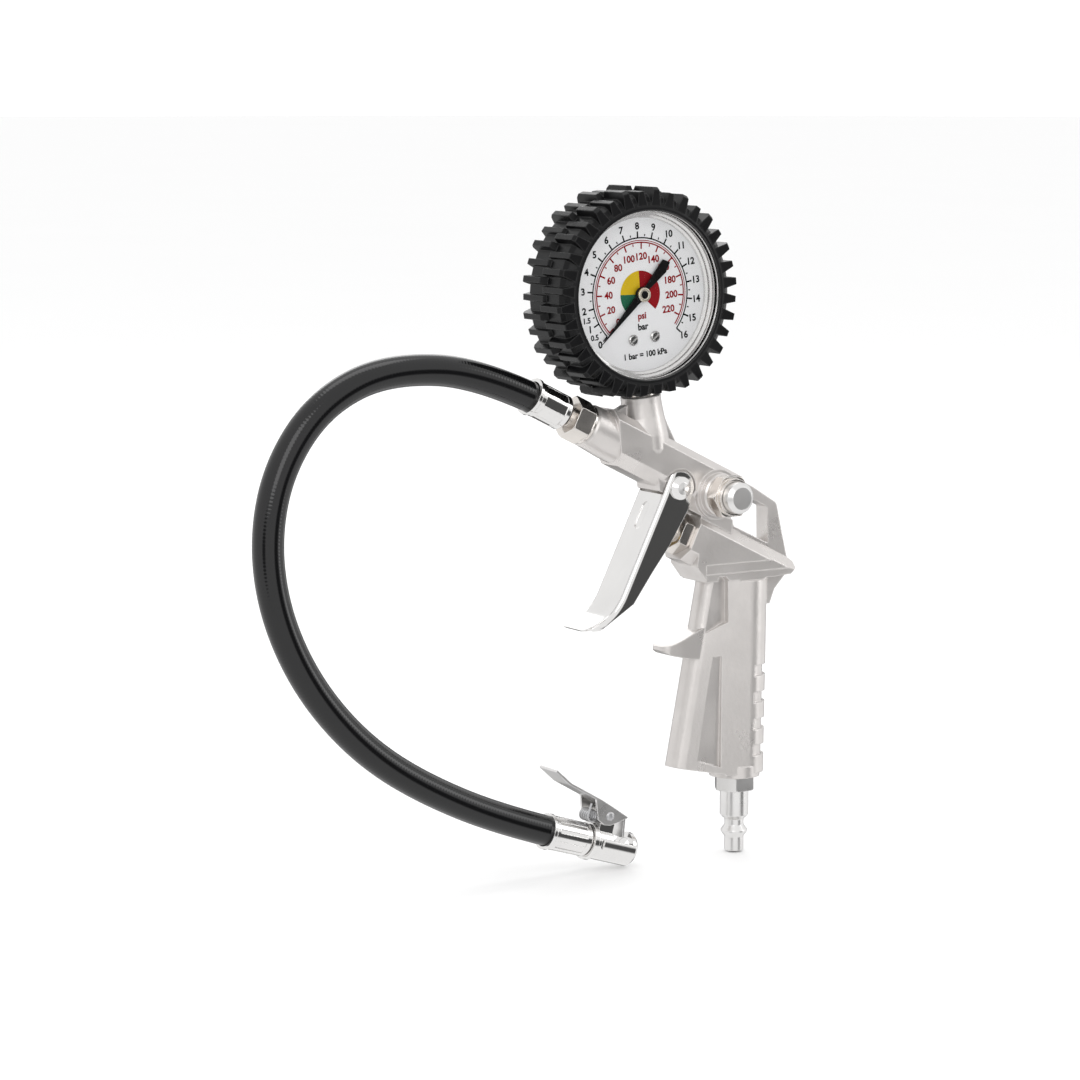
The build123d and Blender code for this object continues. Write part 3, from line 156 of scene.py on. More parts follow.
# The studio's lamps: name, place, width, height, and power as a share of the key light's.
LAMPS = (
    ("key_light", (-1.3, -1.5, 1.1), 0.9, 1.4, 1.0),
    ("fill_light", (1.5, -1.0, 0.5), 0.5, 1.4, 0.5),
    ("top_light", (0.0, 0.2, 1.9), 1.4, 0.8, 0.7),
    ("back_light", (0.6, 1.7, 0.9), 1.2, 0.8, 0.6),
)
FLOOR_RADIUS = 14.0
FLOOR_SIDES = 96
FLOOR_GAP = 0.0004

# Springs copied from their nodes and kept at their full length: name, node, joint.
SQUEEZED_PIECES = (
    ("valve_coil", "valve_spring", "valve_slide"),
    ("bleed_coil", "bleed_spring", "bleed_press"),
)
# Pieces between the gun and a moving body, copied from their nodes and left unbent: name, node, slot, body,
# where the bend starts and ends.
BENT_PIECES = (
    (
        "lever_coil",
        "lever_spring",
        "steel",
        "chuck_lever",
        (-0.0674, 0.0, 0.0228),
        (-0.0683, 0.0, 0.0262),
    ),
    (
        "curved_tube",
        "bourdon_tube",
        "brass",
        "tip_link",
        (-0.05562, 0.0, 0.21426),
        (-0.03203, 0.0, 0.22285),
    ),
)

# The hub cap's section, a closed loop: share of its radius, and height in front of the dial's face.
HUB_CAP_SIDES = 64
HUB_CAP_PROFILE = np.array(
    (
        (0.50, 0.00268),
        (1.00, 0.00268),
        (1.00, 0.00308),
        (0.94, 0.00326),
        (0.82, 0.00334),
        (0.66, 0.00334),
        (0.54, 0.00326),
        (0.50, 0.00310),
    )
)


class InflatorFinishes(bpy.types.PropertyGroup):
    cast_colour: bpy.props.FloatVectorProperty(
        name="Casting",
        description="Colour of the satin-plated casting",
        subtype="COLOR",
        default=(0.70, 0.67, 0.65),
        min=0.0,
        max=1.0,
    )
    plated_colour: bpy.props.FloatVectorProperty(
        name="Plating",
        description="Colour of the bright plated pieces",
        subtype="COLOR",
        default=(0.82, 0.81, 0.80),
        min=0.0,
        max=1.0,
    )
    warm_colour: bpy.props.FloatVectorProperty(
        name="Plating over brass",
        description="Colour of the thinly plated brass fittings",
        subtype="COLOR",
        default=(0.79, 0.75, 0.71),
        min=0.0,
        max=1.0,
    )
    brass_colour: bpy.props.FloatVectorProperty(
        name="Brass",
        description="Colour of the bare brass pieces",
        subtype="COLOR",
        default=(0.80, 0.60, 0.27),
        min=0.0,
        max=1.0,
    )
    steel_colour: bpy.props.FloatVectorProperty(
        name="Steel",
        description="Colour of springs, screws and pins",
        subtype="COLOR",
        default=(0.56, 0.56, 0.57),
        min=0.0,
        max=1.0,
    )
    boot_colour: bpy.props.FloatVectorProperty(
        name="Boot",
        description="Colour of the gauge's moulded rubber boot",
        subtype="COLOR",
        default=(0.0045, 0.0045, 0.005),
        min=0.0,
        max=1.0,
    )
    hose_colour: bpy.props.FloatVectorProperty(
        name="Hose",
        description="Colour of the hose's rubber cover",
        subtype="COLOR",
        default=(0.004, 0.004, 0.0045),
        min=0.0,
        max=1.0,
    )
    casting_grain: bpy.props.FloatProperty(
        name="Casting grain",
        description="How deep the casting's grain is",
        subtype="DISTANCE",
        default=0.00006,
        min=0.0,
        max=0.001,
        precision=6,
    )


class InflatorHose(bpy.types.PropertyGroup):
    diameter: bpy.props.FloatProperty(
        name="Diameter",
        description="The hose's outside diameter",
        subtype="DISTANCE",
        default=0.0115,
        min=0.004,
        max=0.03,
        precision=5,
    )
    wrap_pitch: bpy.props.FloatProperty(
        name="Wrap pitch",
        description="Distance between the marks that the curing tape left round the cover",
        subtype="DISTANCE",
        default=0.0013,
        min=0.0005,
        max=0.01,
        precision=5,
    )
    wrap_depth: bpy.props.FloatProperty(
        name="Wrap depth",
        description="How deep the tape's marks are",
        subtype="DISTANCE",
        default=0.00003,
        min=0.0,
        max=0.0005,
        precision=6,
    )


class InflatorDial(bpy.types.PropertyGroup):
    bar_radius: bpy.props.FloatProperty(
        name="Bar arc",
        description="Radius of the black scale's arc",
        subtype="DISTANCE",
        default=0.0210,
        min=0.01,
        max=0.03,
        precision=5,
    )
    psi_radius: bpy.props.FloatProperty(
        name="Psi arc",
        description="Radius of the red scale's inner ring",
        subtype="DISTANCE",
        default=0.0193,
        min=0.01,
        max=0.03,
        precision=5,
    )
    number_height: bpy.props.FloatProperty(
        name="Number height",
        description="Height of the scales' numbers",
        subtype="DISTANCE",
        default=0.0026,
        min=0.001,
        max=0.006,
        precision=5,
    )
    sector_radius: bpy.props.FloatProperty(
        name="Sector radius",
        description="Radius of the coloured sectors round the hub",
        subtype="DISTANCE",
        default=0.0088,
        min=0.003,
        max=0.015,
        precision=5,
    )
    hub_radius: bpy.props.FloatProperty(
        name="Hub cap radius",
        description="Radius of the light ring over the pointer's hub",
        subtype="DISTANCE",
        default=0.0027,
        min=0.002,
        max=0.005,
        precision=5,
    )
    cap_colour: bpy.props.FloatVectorProperty(
        name="Hub cap",
        description="Colour of the ring over the pointer's hub",
        subtype="COLOR",
        default=(0.86, 0.80, 0.66),
        min=0.0,
        max=1.0,
    )
    black_ink: bpy.props.FloatVectorProperty(
        name="Black ink",
        description="Colour of the black printing",
        subtype="COLOR",
        default=(0.004, 0.004, 0.005),
        min=0.0,
        max=1.0,
    )
    red_ink: bpy.props.FloatVectorProperty(
        name="Red ink",
        description="Colour of the red printing",
        subtype="COLOR",
        default=(0.33, 0.006, 0.012),
        min=0.0,
        max=1.0,
    )
    green_ink: bpy.props.FloatVectorProperty(
        name="Green ink",
        description="Colour of the low sector",
        subtype="COLOR",
        default=(0.025, 0.16, 0.085),
        min=0.0,
        max=1.0,
    )
    yellow_ink: bpy.props.FloatVectorProperty(
        name="Yellow ink",
        description="Colour of the middle sector",
        subtype="COLOR",
        default=(0.80, 0.55, 0.02),
        min=0.0,
        max=1.0,
    )


class InflatorStage(bpy.types.PropertyGroup):
    azimuth: bpy.props.FloatProperty(
        name="Azimuth",
        description="The camera's turn round the object",
        subtype="ANGLE",
        default=radians(32.0),
    )
    elevation: bpy.props.FloatProperty(
        name="Elevation",
        description="The camera's angle above the horizon",
        subtype="ANGLE",
        default=radians(7.7),
    )
    distance: bpy.props.FloatProperty(
        name="Distance",
        description="From the camera to the point it looks at",
        subtype="DISTANCE",
        default=1.37,
        min=0.1,
    )
    aim: bpy.props.FloatVectorProperty(
        name="Aim",
        description="The point that the camera looks at",
        subtype="TRANSLATION",
        default=(-0.088493, 0.0, 0.127147),
    )
    lens: bpy.props.FloatProperty(
        name="Lens",
        description="Focal length of the camera, in millimetres",
        default=123.33,
        min=10.0,
    )
    key_power: bpy.props.FloatProperty(
        name="Key light",
        description="Power of the large light at the camera's left",
        subtype="POWER",
        default=7.0,
        min=0.0,
    )
    sky: bpy.props.FloatProperty(
        name="Sky",
        description="Strength of the even white light from all round",
        default=1.08,
        min=0.0,
    )
    floor_tone: bpy.props.FloatProperty(
        name="Floor tone",
        description="How pale the floor is",
        subtype="FACTOR",
        default=0.93,
        min=0.0,
        max=1.0,
    )


# Node trees

# The Mix node's inputs for a colour mix: the share, and the two colours.
MIX_SHARE, MIX_FIRST, MIX_SECOND = 0, 6, 7
SURFACE_EFFECT = "Grain, mottle, edge wear and painted edge highlight"
# The lean's cosine where an edge starts to show in the edge mask, and where it shows in full; finishes use
# the mask for edge wear and a painted edge highlight.
EDGE_FROM, EDGE_FULL = 0.999, 0.88
# The spans of noise that carry a finish from one colour or roughness to the other.
COLOUR_SPAN = (0.35, 0.65)
ROUGHNESS_SPAN = (0.3, 0.7)


def fill(tree, socket, value):
    """Links a socket's value to an input, or sets the input to a plain value."""
    if isinstance(value, bpy.types.NodeSocket):
        tree.links.new(value, socket)
    else:
        socket.default_value = value


def put(tree, kind, links=None, **settings):
    """One shader node. Its settings are set by name, and links gives values or sockets to its inputs."""
    made = tree.nodes.new(kind)
    for key, value in settings.items():
        setattr(made, key, value)
    for key, value in (links or {}).items():
        fill(tree, made.inputs[key], value)
    return made


def effect(name, sockets):
    """A new shader node group with named inputs and outputs: (direction, socket kind, name, default)."""
    group = bpy.data.node_groups.new(name, "ShaderNodeTree")
    for direction, kind, label, default in sockets:
        made = group.interface.new_socket(name=label, in_out=direction, socket_type=kind)
        if default is not None:
            made.default_value = default
    return group, put(group, "NodeGroupInput"), put(group, "NodeGroupOutput")


def stretch(tree, value, low, high, to_low, to_high):
    """A value's span from low to high carried to the span from to_low to to_high, and held at its ends."""
    made = put(
        tree,
        "ShaderNodeMapRange",
        {"Value": value, "From Min": low, "From Max": high, "To Min": to_low, "To Max": to_high},
    )
    return made.outputs["Result"]


def blend_colours(tree, share, first, second):
    """The colour that lies a share of the way from the first to the second."""
    made = put(tree, "ShaderNodeMix", data_type="RGBA")
    for index, value in ((MIX_SHARE, share), (MIX_FIRST, first), (MIX_SECOND, second)):
        fill(tree, made.inputs[index], value)
    return made.outputs[2]


def noise(tree, where, scale, detail, **more):
    """The value of a noise pattern at a place."""
    made = put(tree, "ShaderNodeTexNoise", {"Vector": where, "Scale": scale, "Detail": detail, **more})
    return made.outputs["Fac"]


def object_place(tree):
    """The point's place in the piece's own coordinates."""
    return put(tree, "ShaderNodeTexCoord").outputs["Object"]


def make_surface_effect():
    """Grain, broad mottling and an edge mask, from object coordinates and the rounded-off normal; finishes
    lighten their colour with the mask, as edge wear and a painted edge highlight.

    Grain is fine noise used as height. Mottle is coarse noise. Edge is how far the rounded-off normal leans
    from the true one, which is nought on flats and rises at corners."""
    group, given, out = effect(
        SURFACE_EFFECT,
        (
            ("INPUT", "NodeSocketFloat", "Grain size", 900.0),
            ("INPUT", "NodeSocketFloat", "Grain depth", 0.00005),
            ("INPUT", "NodeSocketFloat", "Mottle size", 60.0),
            ("INPUT", "NodeSocketFloat", "Edge width", 0.0004),
            ("OUTPUT", "NodeSocketVector", "Normal", None),
            ("OUTPUT", "NodeSocketFloat", "Mottle", None),
            ("OUTPUT", "NodeSocketFloat", "Edge", None),
        ),
    )
    where = object_place(group)
    grain = noise(group, where, given.outputs["Grain size"], 3.0, Roughness=0.6)
    mottle = noise(group, where, given.outputs["Mottle size"], 4.0, Roughness=0.55)
    rounded = put(group, "ShaderNodeBevel", {"Radius": given.outputs["Edge width"]}, samples=6)
    true_normal = put(group, "ShaderNodeNewGeometry").outputs["Normal"]
    lean = put(
        group,
        "ShaderNodeVectorMath",
        {0: rounded.outputs["Normal"], 1: true_normal},
        operation="DOT_PRODUCT",
    )
    # Edge mask: the finishes lighten their colour with it at edges and corners, partly edge wear and partly a
    # painted edge highlight.
    edge = stretch(group, lean.outputs["Value"], EDGE_FROM, EDGE_FULL, 0.0, 1.0)
    bump = put(
        group,
        "ShaderNodeBump",
        {"Height": grain, "Distance": given.outputs["Grain depth"], "Normal": rounded.outputs["Normal"]},
    )
    for label, socket in (("Normal", bump.outputs["Normal"]), ("Mottle", mottle), ("Edge", edge)):
        fill(group, out.inputs[label], socket)


def new_finish(name):
    """An empty material with its Principled shader wired to the output: the material, tree and shader."""
    finish = bpy.data.materials.new(name)
    finish.use_nodes = True
    finish.node_tree.nodes.clear()
    shader = put(finish.node_tree, "ShaderNodeBsdfPrincipled")
    put(finish.node_tree, "ShaderNodeOutputMaterial", {"Surface": shader.outputs["BSDF"]})
    return finish, finish.node_tree, shader


def surfaced(
    name,
    colour,
    rough,
    grain,
    mottle=0.12,
    edge=0.15,
    metallic=0.0,
    size=900.0,
    edge_width=0.0004,
    shine=0.5,
):
    """A finish whose colour and roughness vary with the shared grain and mottle, and whose colour lightens at
    edges and corners, partly as edge wear and partly as a painted edge highlight.

    colour is the mean colour; rough is the pair of roughness values that the mottle runs between; grain is
    the grain's depth and size its fineness; mottle is the share by which the colour darkens in patches, edge
    the share by which it brightens at corners; shine is the shader's specular level."""
    finish, tree, shader = new_finish(name)
    effects = put(tree, "ShaderNodeGroup", node_tree=bpy.data.node_groups[SURFACE_EFFECT])
    effects.inputs["Grain size"].default_value = size
    effects.inputs["Grain depth"].default_value = grain
    effects.inputs["Edge width"].default_value = edge_width
    light = tuple(colour) + (1.0,)
    dark = tuple(c * (1.0 - mottle) for c in colour) + (1.0,)
    # Painted edge highlight, with some edge wear: the colour is lightened towards white where the edge mask
    # rises at edges and corners.
    bright = tuple(min(1.0, c + edge * (1.0 - c)) for c in colour) + (1.0,)
    patchiness = effects.outputs["Mottle"]
    patches = blend_colours(tree, stretch(tree, patchiness, *COLOUR_SPAN, 0.0, 1.0), light, dark)
    worn_and_highlit = blend_colours(tree, effects.outputs["Edge"], patches, bright)
    fill(tree, shader.inputs["Base Color"], worn_and_highlit)
    fill(tree, shader.inputs["Roughness"], stretch(tree, patchiness, *ROUGHNESS_SPAN, *rough))
    fill(tree, shader.inputs["Normal"], effects.outputs["Normal"])
    shader.inputs["Metallic"].default_value = metallic
    shader.inputs["Specular IOR Level"].default_value = shine
    return finish


def dress(piece, finish):
    """Gives every material slot of a node or piece this finish."""
    for place in piece.material_slots:
        place.material = finish
    if not piece.material_slots:
        piece.data.materials.append(finish)


def dress_slots(by_slot):
    """Gives each CAD node whose material slot is named here that slot's finish."""
    for part in frame["record"]["subparts"]:
        if part["material_slot"] in by_slot:
            dress(frame["nodes"][part["node"]], by_slot[part["material_slot"]])


# Surfaces


def placed(name, data):
    """A new object in the scene with this mesh, curve, lamp or camera."""
    made = bpy.data.objects.new(name, data)
    bpy.context.scene.collection.objects.link(made)
    return made


def new_mesh_object(name, points, faces, smooth=False):
    """An object at the origin whose mesh has these points and faces. smooth is for all faces, or each."""
    mesh = bpy.data.meshes.new(name)
    mesh.from_pydata(points.tolist(), [], faces)
    mesh.polygons.foreach_set("use_smooth", np.array(np.broadcast_to(smooth, len(mesh.polygons))))
    mesh.update()
    return placed(name, mesh)


def mesh_of(name, curve):
    """The mesh that a curve or a text makes. The curve is removed."""
    maker = placed(name, curve)
    bpy.context.view_layer.update()
    mesh = bpy.data.meshes.new_from_object(maker.evaluated_get(bpy.context.evaluated_depsgraph_get()))
    bpy.data.objects.remove(maker)
    bpy.data.curves.remove(curve)
    return mesh


def mesh_points(mesh):
    """The mesh's points, a row each."""
    points = np.empty(len(mesh.vertices) * 3)
    mesh.vertices.foreach_get("co", points)
    return points.reshape(-1, 3)


def grid_faces(rows, columns, closed):
    """The quads of a grid of rows by columns points. Where closed, the last column joins the first."""
    row, column = np.meshgrid(
        np.arange(rows - 1), np.arange(columns if closed else columns - 1), indexing="ij"
    )
    after = (column + 1) % columns
    quads = (
        row * columns + column,
        row * columns + after,
        (row + 1) * columns + after,
        (row + 1) * columns + column,
    )
    return np.stack(quads, axis=-1).reshape(-1, 4)


def on_dial(across, up, height):
    """Points of the dial's frame in the row frame: across, up, and height in front of its face."""
    flat = np.stack(
        (
            DIAL_CENTRE.x + across * DIAL_RIGHT.x + up * DIAL_UP.x,
            np.full_like(across, DIAL_FACE_Y) - height,
            DIAL_CENTRE.z + across * DIAL_RIGHT.z + up * DIAL_UP.z,
        ),
        axis=-1,
    )
    return flat.reshape(-1, 3)


def ring_band(inner, outer, start, end):
    """A flat band on the dial: radius runs from inner to outer and the angle from start down to end."""
    turns = np.radians(np.linspace(start, end, max(2, int(abs(start - end) / BAND_STEP) + 1)))
    radius, turn = np.meshgrid(np.array((inner, outer)), turns, indexing="xy")
    points = on_dial(radius * np.cos(turn), radius * np.sin(turn), INK_HEIGHT)
    return points, grid_faces(len(turns), 2, False)


def tick_marks(angles, inner, outer, width):
    """Flat radial marks on the dial: each is a rectangle from the inner to the outer radius, width across."""
    turns = np.radians(np.asarray(angles, dtype=float))[:, None]
    along = np.array((inner, inner, outer, outer))[None, :]
    aside = np.array((-width, width, width, -width))[None, :] / 2.0
    across = along * np.cos(turns) + aside * np.sin(turns)
    up = along * np.sin(turns) - aside * np.cos(turns)
    points = on_dial(across, up, INK_HEIGHT)
    return points, np.arange(len(points)).reshape(-1, 4)


def print_shapes(name, parts, finish):
    """One piece of the dial's printing from several (points, faces) pairs, its faces to the dial's front."""
    points = np.concatenate([p for p, _ in parts])
    starts = np.cumsum([0] + [len(p) for p, _ in parts[:-1]])
    faces = np.concatenate([f + s for (_, f), s in zip(parts, starts)])
    corners = points[faces]
    facing = np.cross(corners[:, 1] - corners[:, 0], corners[:, 2] - corners[:, 1])[:, 1]
    faces[facing > 0] = faces[facing > 0][:, ::-1]
    made = new_mesh_object(name, points, faces.tolist())
    dress(made, finish)
    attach(made, "gun")


def print_words(name, words, finish):
    """One piece of the dial's printing from short texts: (text, across, up, height of a capital)."""
    points = []
    faces = []
    count = 0
    for text, across, up, height in words:
        curve = bpy.data.curves.new(name, "FONT")
        curve.body = text
        curve.align_x = "CENTER"
        curve.align_y = "CENTER"
        curve.size = height * TYPE_SIZE
        curve.offset = height * TYPE_SWELLING
        curve.resolution_u = 3
        flat = mesh_of(name, curve)
        face_centre = Vector((DIAL_CENTRE.x, DIAL_FACE_Y - INK_HEIGHT, DIAL_CENTRE.z))
        flat.transform(
            Matrix.Translation(face_centre + DIAL_RIGHT * across + DIAL_UP * up)
            @ Matrix.Rotation(-DIAL_LEAN, 4, "Y")
            @ Matrix.Rotation(pi / 2, 4, "X")
        )
        points.append(mesh_points(flat))
        faces.extend([[count + v for v in face.vertices] for face in flat.polygons])
        count += len(flat.vertices)
        bpy.data.meshes.remove(flat)
    made = new_mesh_object(name, np.concatenate(points), faces)
    dress(made, finish)
    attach(made, "gun")


def numbers_round(values, step, radius, height):
    """The words of a scale's numbers: each is upright, at its own angle on the radius."""
    turns = [radians(ZERO_ANGLE - step * value) for value in values]
    return [
        (
            "%g" % value,
            radius * cos(turn),
            radius * sin(turn),
            height * (SMALL_NUMBER_SHARE if value in SMALL_NUMBERS else 1.0),
        )
        for value, turn in zip(values, turns)
    ]


def hose_line():
    """The hose's centreline: points read from one smooth NURBS spline that the route's points control."""
    curve = bpy.data.curves.new("hose_route", "CURVE")
    curve.dimensions = "3D"
    spline = curve.splines.new("NURBS")
    spline.points.add(len(HOSE_ROUTE) - 1)
    for point, (along, height) in zip(spline.points, HOSE_ROUTE):
        point.co = (along, 0.0, height, 1.0)
    spline.order_u = 3
    spline.use_endpoint_u = True
    curve.resolution_u = HOSE_SMOOTHNESS
    line = mesh_of("hose_route", curve)
    points = mesh_points(line)
    bpy.data.meshes.remove(line)
    return points


def wrapped_tube(name, path, radius, pitch, depth):
    """A tube along a path in the XZ plane, with the shallow helical groove that a curing tape leaves.

    The surface is centre(s) + r(s, a) * (side * cos a + Y * sin a), where s is the distance along, a the turn
    round it, and r is the radius less the depth times the fourth power of the cosine of pi times s over the
    pitch plus half of a."""
    steps = np.linalg.norm(np.diff(path, axis=0), axis=1)
    along = np.concatenate(([0.0], np.cumsum(steps)))
    rings = int(along[-1] / (pitch / RINGS_PER_WRAP))
    station = np.linspace(0.0, along[-1], rings)
    centre = np.stack([np.interp(station, along, path[:, axis]) for axis in range(3)], axis=-1)
    heading = np.gradient(centre, axis=0)
    heading /= np.linalg.norm(heading, axis=1)[:, None]
    side = np.stack((heading[:, 2], np.zeros(rings), -heading[:, 0]), axis=-1)
    turn = np.linspace(0.0, 2.0 * pi, HOSE_SIDES, endpoint=False)
    groove = np.cos(pi * station[:, None] / pitch + turn[None, :] / 2.0) ** 4
    reach = radius - depth * groove
    points = (
        centre[:, None, :]
        + (reach * np.cos(turn))[:, :, None] * side[:, None, :]
        + (reach * np.sin(turn))[:, :, None] * np.array((0.0, 1.0, 0.0))
    ).reshape(-1, 3)
    walls = grid_faces(rings, HOSE_SIDES, True)[:, ::-1].tolist()
    last = len(points) - 1
    ends = [list(range(HOSE_SIDES)), list(range(last, last - HOSE_SIDES, -1))]
    smooth = np.arange(len(walls) + len(ends)) < len(walls)
    made = new_mesh_object(name, points, walls + ends, smooth)
    spread = made.data.uv_layers.new(name="Along and round")
    places = np.empty(len(made.data.loops), dtype=int)
    made.data.loops.foreach_get("vertex_index", places)
    where = np.stack((station[places // HOSE_SIDES], (places % HOSE_SIDES) / HOSE_SIDES), axis=-1)
    spread.data.foreach_set("uv", where.ravel())
    made.data.update()
    return made


def flexible_copy(name, node, rides=True):
    """A new piece with a copy of a CAD node's mesh, standing for it; the node is hidden."""
    made = placed(name, frame["nodes"][node].data.copy())
    if rides:
        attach(made, "gun")
    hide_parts(node)
    return made


# Operators


class INFLATOR_OT_camera(bpy.types.Operator):
    """Puts the camera in place"""

    bl_idname = "inflator.camera"
    bl_label = "Camera"

    def execute(self, context):
        stage = context.scene.inflator_stage
        turn, rise = stage.azimuth, stage.elevation
        back = Vector((-sin(turn) * cos(rise), -cos(turn) * cos(rise), sin(rise)))
        seen = bpy.data.cameras.new("camera")
        seen.lens = stage.lens
        seen.sensor_width = 36.0
        seen.clip_start = 0.05
        made = placed("camera", seen)
        made.location = Vector(stage.aim) + back * stage.distance
        made.rotation_euler = back.to_track_quat("Z", "Y").to_euler()
        context.scene.camera = made
        return {"FINISHED"}


class INFLATOR_OT_effects(bpy.types.Operator):
    """Makes the shared effect that every finish uses"""

    bl_idname = "inflator.effects"
    bl_label = "Shared effects"

    def execute(self, context):
        make_surface_effect()
        return {"FINISHED"}


class INFLATOR_OT_metals(bpy.types.Operator):
    """Gives the casting, the plated pieces, the brass and the steel their finishes"""

    bl_idname = "inflator.metals"
    bl_label = "Metal finishes"

    def execute(self, context):
        finishes = context.scene.inflator_finishes
        # Each metal's edge share paints a highlight along its edges and corners, with some edge wear.
        cast = surfaced(
            "satin-plated casting",
            finishes.cast_colour,
            (0.24, 0.38),
            finishes.casting_grain,
            mottle=0.10,
            edge=0.10,
            metallic=0.75,
            size=700.0,
            edge_width=0.0007,
        )
        plated = surfaced(
            "bright plating",
            finishes.plated_colour,
            (0.05, 0.12),
            0.000006,
            mottle=0.05,
            edge=0.1,
            metallic=1.0,
            size=300.0,
            edge_width=0.0003,
        )
        warm, satin, brass, steel = (
            surfaced(name, colour, rough, grain, mottle=mottle, edge=edge, metallic=1.0)
            for name, colour, rough, grain, mottle, edge in (
                ("plating over brass", finishes.warm_colour, (0.14, 0.24), 0.000006, 0.08, 0.3),
                ("satin plating", finishes.plated_colour, (0.26, 0.36), 0.00001, 0.08, 0.3),
                ("bare brass", finishes.brass_colour, (0.22, 0.36), 0.00001, 0.2, 0.2),
                ("plain steel", finishes.steel_colour, (0.25, 0.4), 0.00001, 0.2, 0.2),
            )
        )
        dress_slots(
            {"cast_body": cast, "plated": plated, "plated_brass": warm, "brass": brass, "steel": steel}
        )
        for node, finish in (
            ("gauge_socket", warm),
            ("dial_screws", plated),
            ("bleed_button", satin),
            ("inlet_plug", satin),
            ("chuck_body", plated),
            ("chuck_lever", satin),
        ):
            dress(frame["nodes"][node], finish)
        return {"FINISHED"}


class INFLATOR_OT_soft_and_painted(bpy.types.Operator):
    """Gives the boot, the seals, the painted sheet, the dial plate and the glass their finishes"""

    bl_idname = "inflator.soft_and_painted"
    bl_label = "Rubber, paint and glass"

    def execute(self, context):
        boot = surfaced(
            "moulded boot rubber",
            context.scene.inflator_finishes.boot_colour,
            (0.22, 0.38),
            0.00003,
            mottle=0.3,
            edge=0.02,
            size=1200.0,
            edge_width=0.0006,
            shine=0.2,
        )
        seal = surfaced("seal rubber", (0.03, 0.03, 0.03), (0.5, 0.65), 0.00002, mottle=0.3, edge=0.05)
        black = surfaced(
            "black paint", (0.006, 0.006, 0.006), (0.3, 0.42), 0.00001, mottle=0.2, edge=0.02, shine=0.15
        )
        white = surfaced(
            "white dial paint", (0.95, 0.95, 0.96), (0.32, 0.42), 0.000004, mottle=0.02, edge=0.0
        )
        # The glass is nearly clear face on, and reflects more at its rim.
        clear, tree, shader = new_finish("clear glass")
        shader.inputs["Base Color"].default_value = (0.02, 0.022, 0.025, 1.0)
        shader.inputs["Specular IOR Level"].default_value = 0.9
        rim = put(tree, "ShaderNodeFresnel", {"IOR": 1.45}).outputs["Fac"]
        streaks = noise(tree, object_place(tree), 40.0, 2.0)
        fill(tree, shader.inputs["Roughness"], stretch(tree, streaks, *ROUGHNESS_SPAN, 0.02, 0.05))
        fill(tree, shader.inputs["Alpha"], stretch(tree, rim, 0.0, 1.0, 0.015, 0.5))
        dress_slots(
            {
                "boot_rubber": boot,
                "seal_rubber": seal,
                "black_steel": black,
                "dial_white": white,
                "clear": clear,
            }
        )
        return {"FINISHED"}


class INFLATOR_OT_flexing_pieces(bpy.types.Operator):
    """Copies the springs and the gauge's curved tube from their nodes and hides the nodes"""

    bl_idname = "inflator.flexing_pieces"
    bl_label = "Springs and tube"

    def execute(self, context):
        for name, node, joint_name in SQUEEZED_PIECES:
            coil = flexible_copy(name, node)
            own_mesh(coil)
        for name, node, slot, body, start, end in BENT_PIECES:
            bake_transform(flexible_copy(name, node, rides=False))
        return {"FINISHED"}


class INFLATOR_OT_hose(bpy.types.Operator):
    """Makes the hose with its tape-wrapped rubber cover"""

    bl_idname = "inflator.hose"
    bl_label = "Hose"

    def execute(self, context):
        sizes = context.scene.inflator_hose
        colour = context.scene.inflator_finishes.hose_colour
        path = hose_line()
        hose = wrapped_tube(
            "air_hose", path, sizes.diameter / 2.0, sizes.wrap_pitch, sizes.wrap_depth
        )
        dress(
            hose,
            surfaced("glossy hose rubber", colour, (0.07, 0.13), 0.000006, edge=0.0, shine=0.5),
        )
        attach(hose, "gun")
        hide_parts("hose")
        return {"FINISHED"}


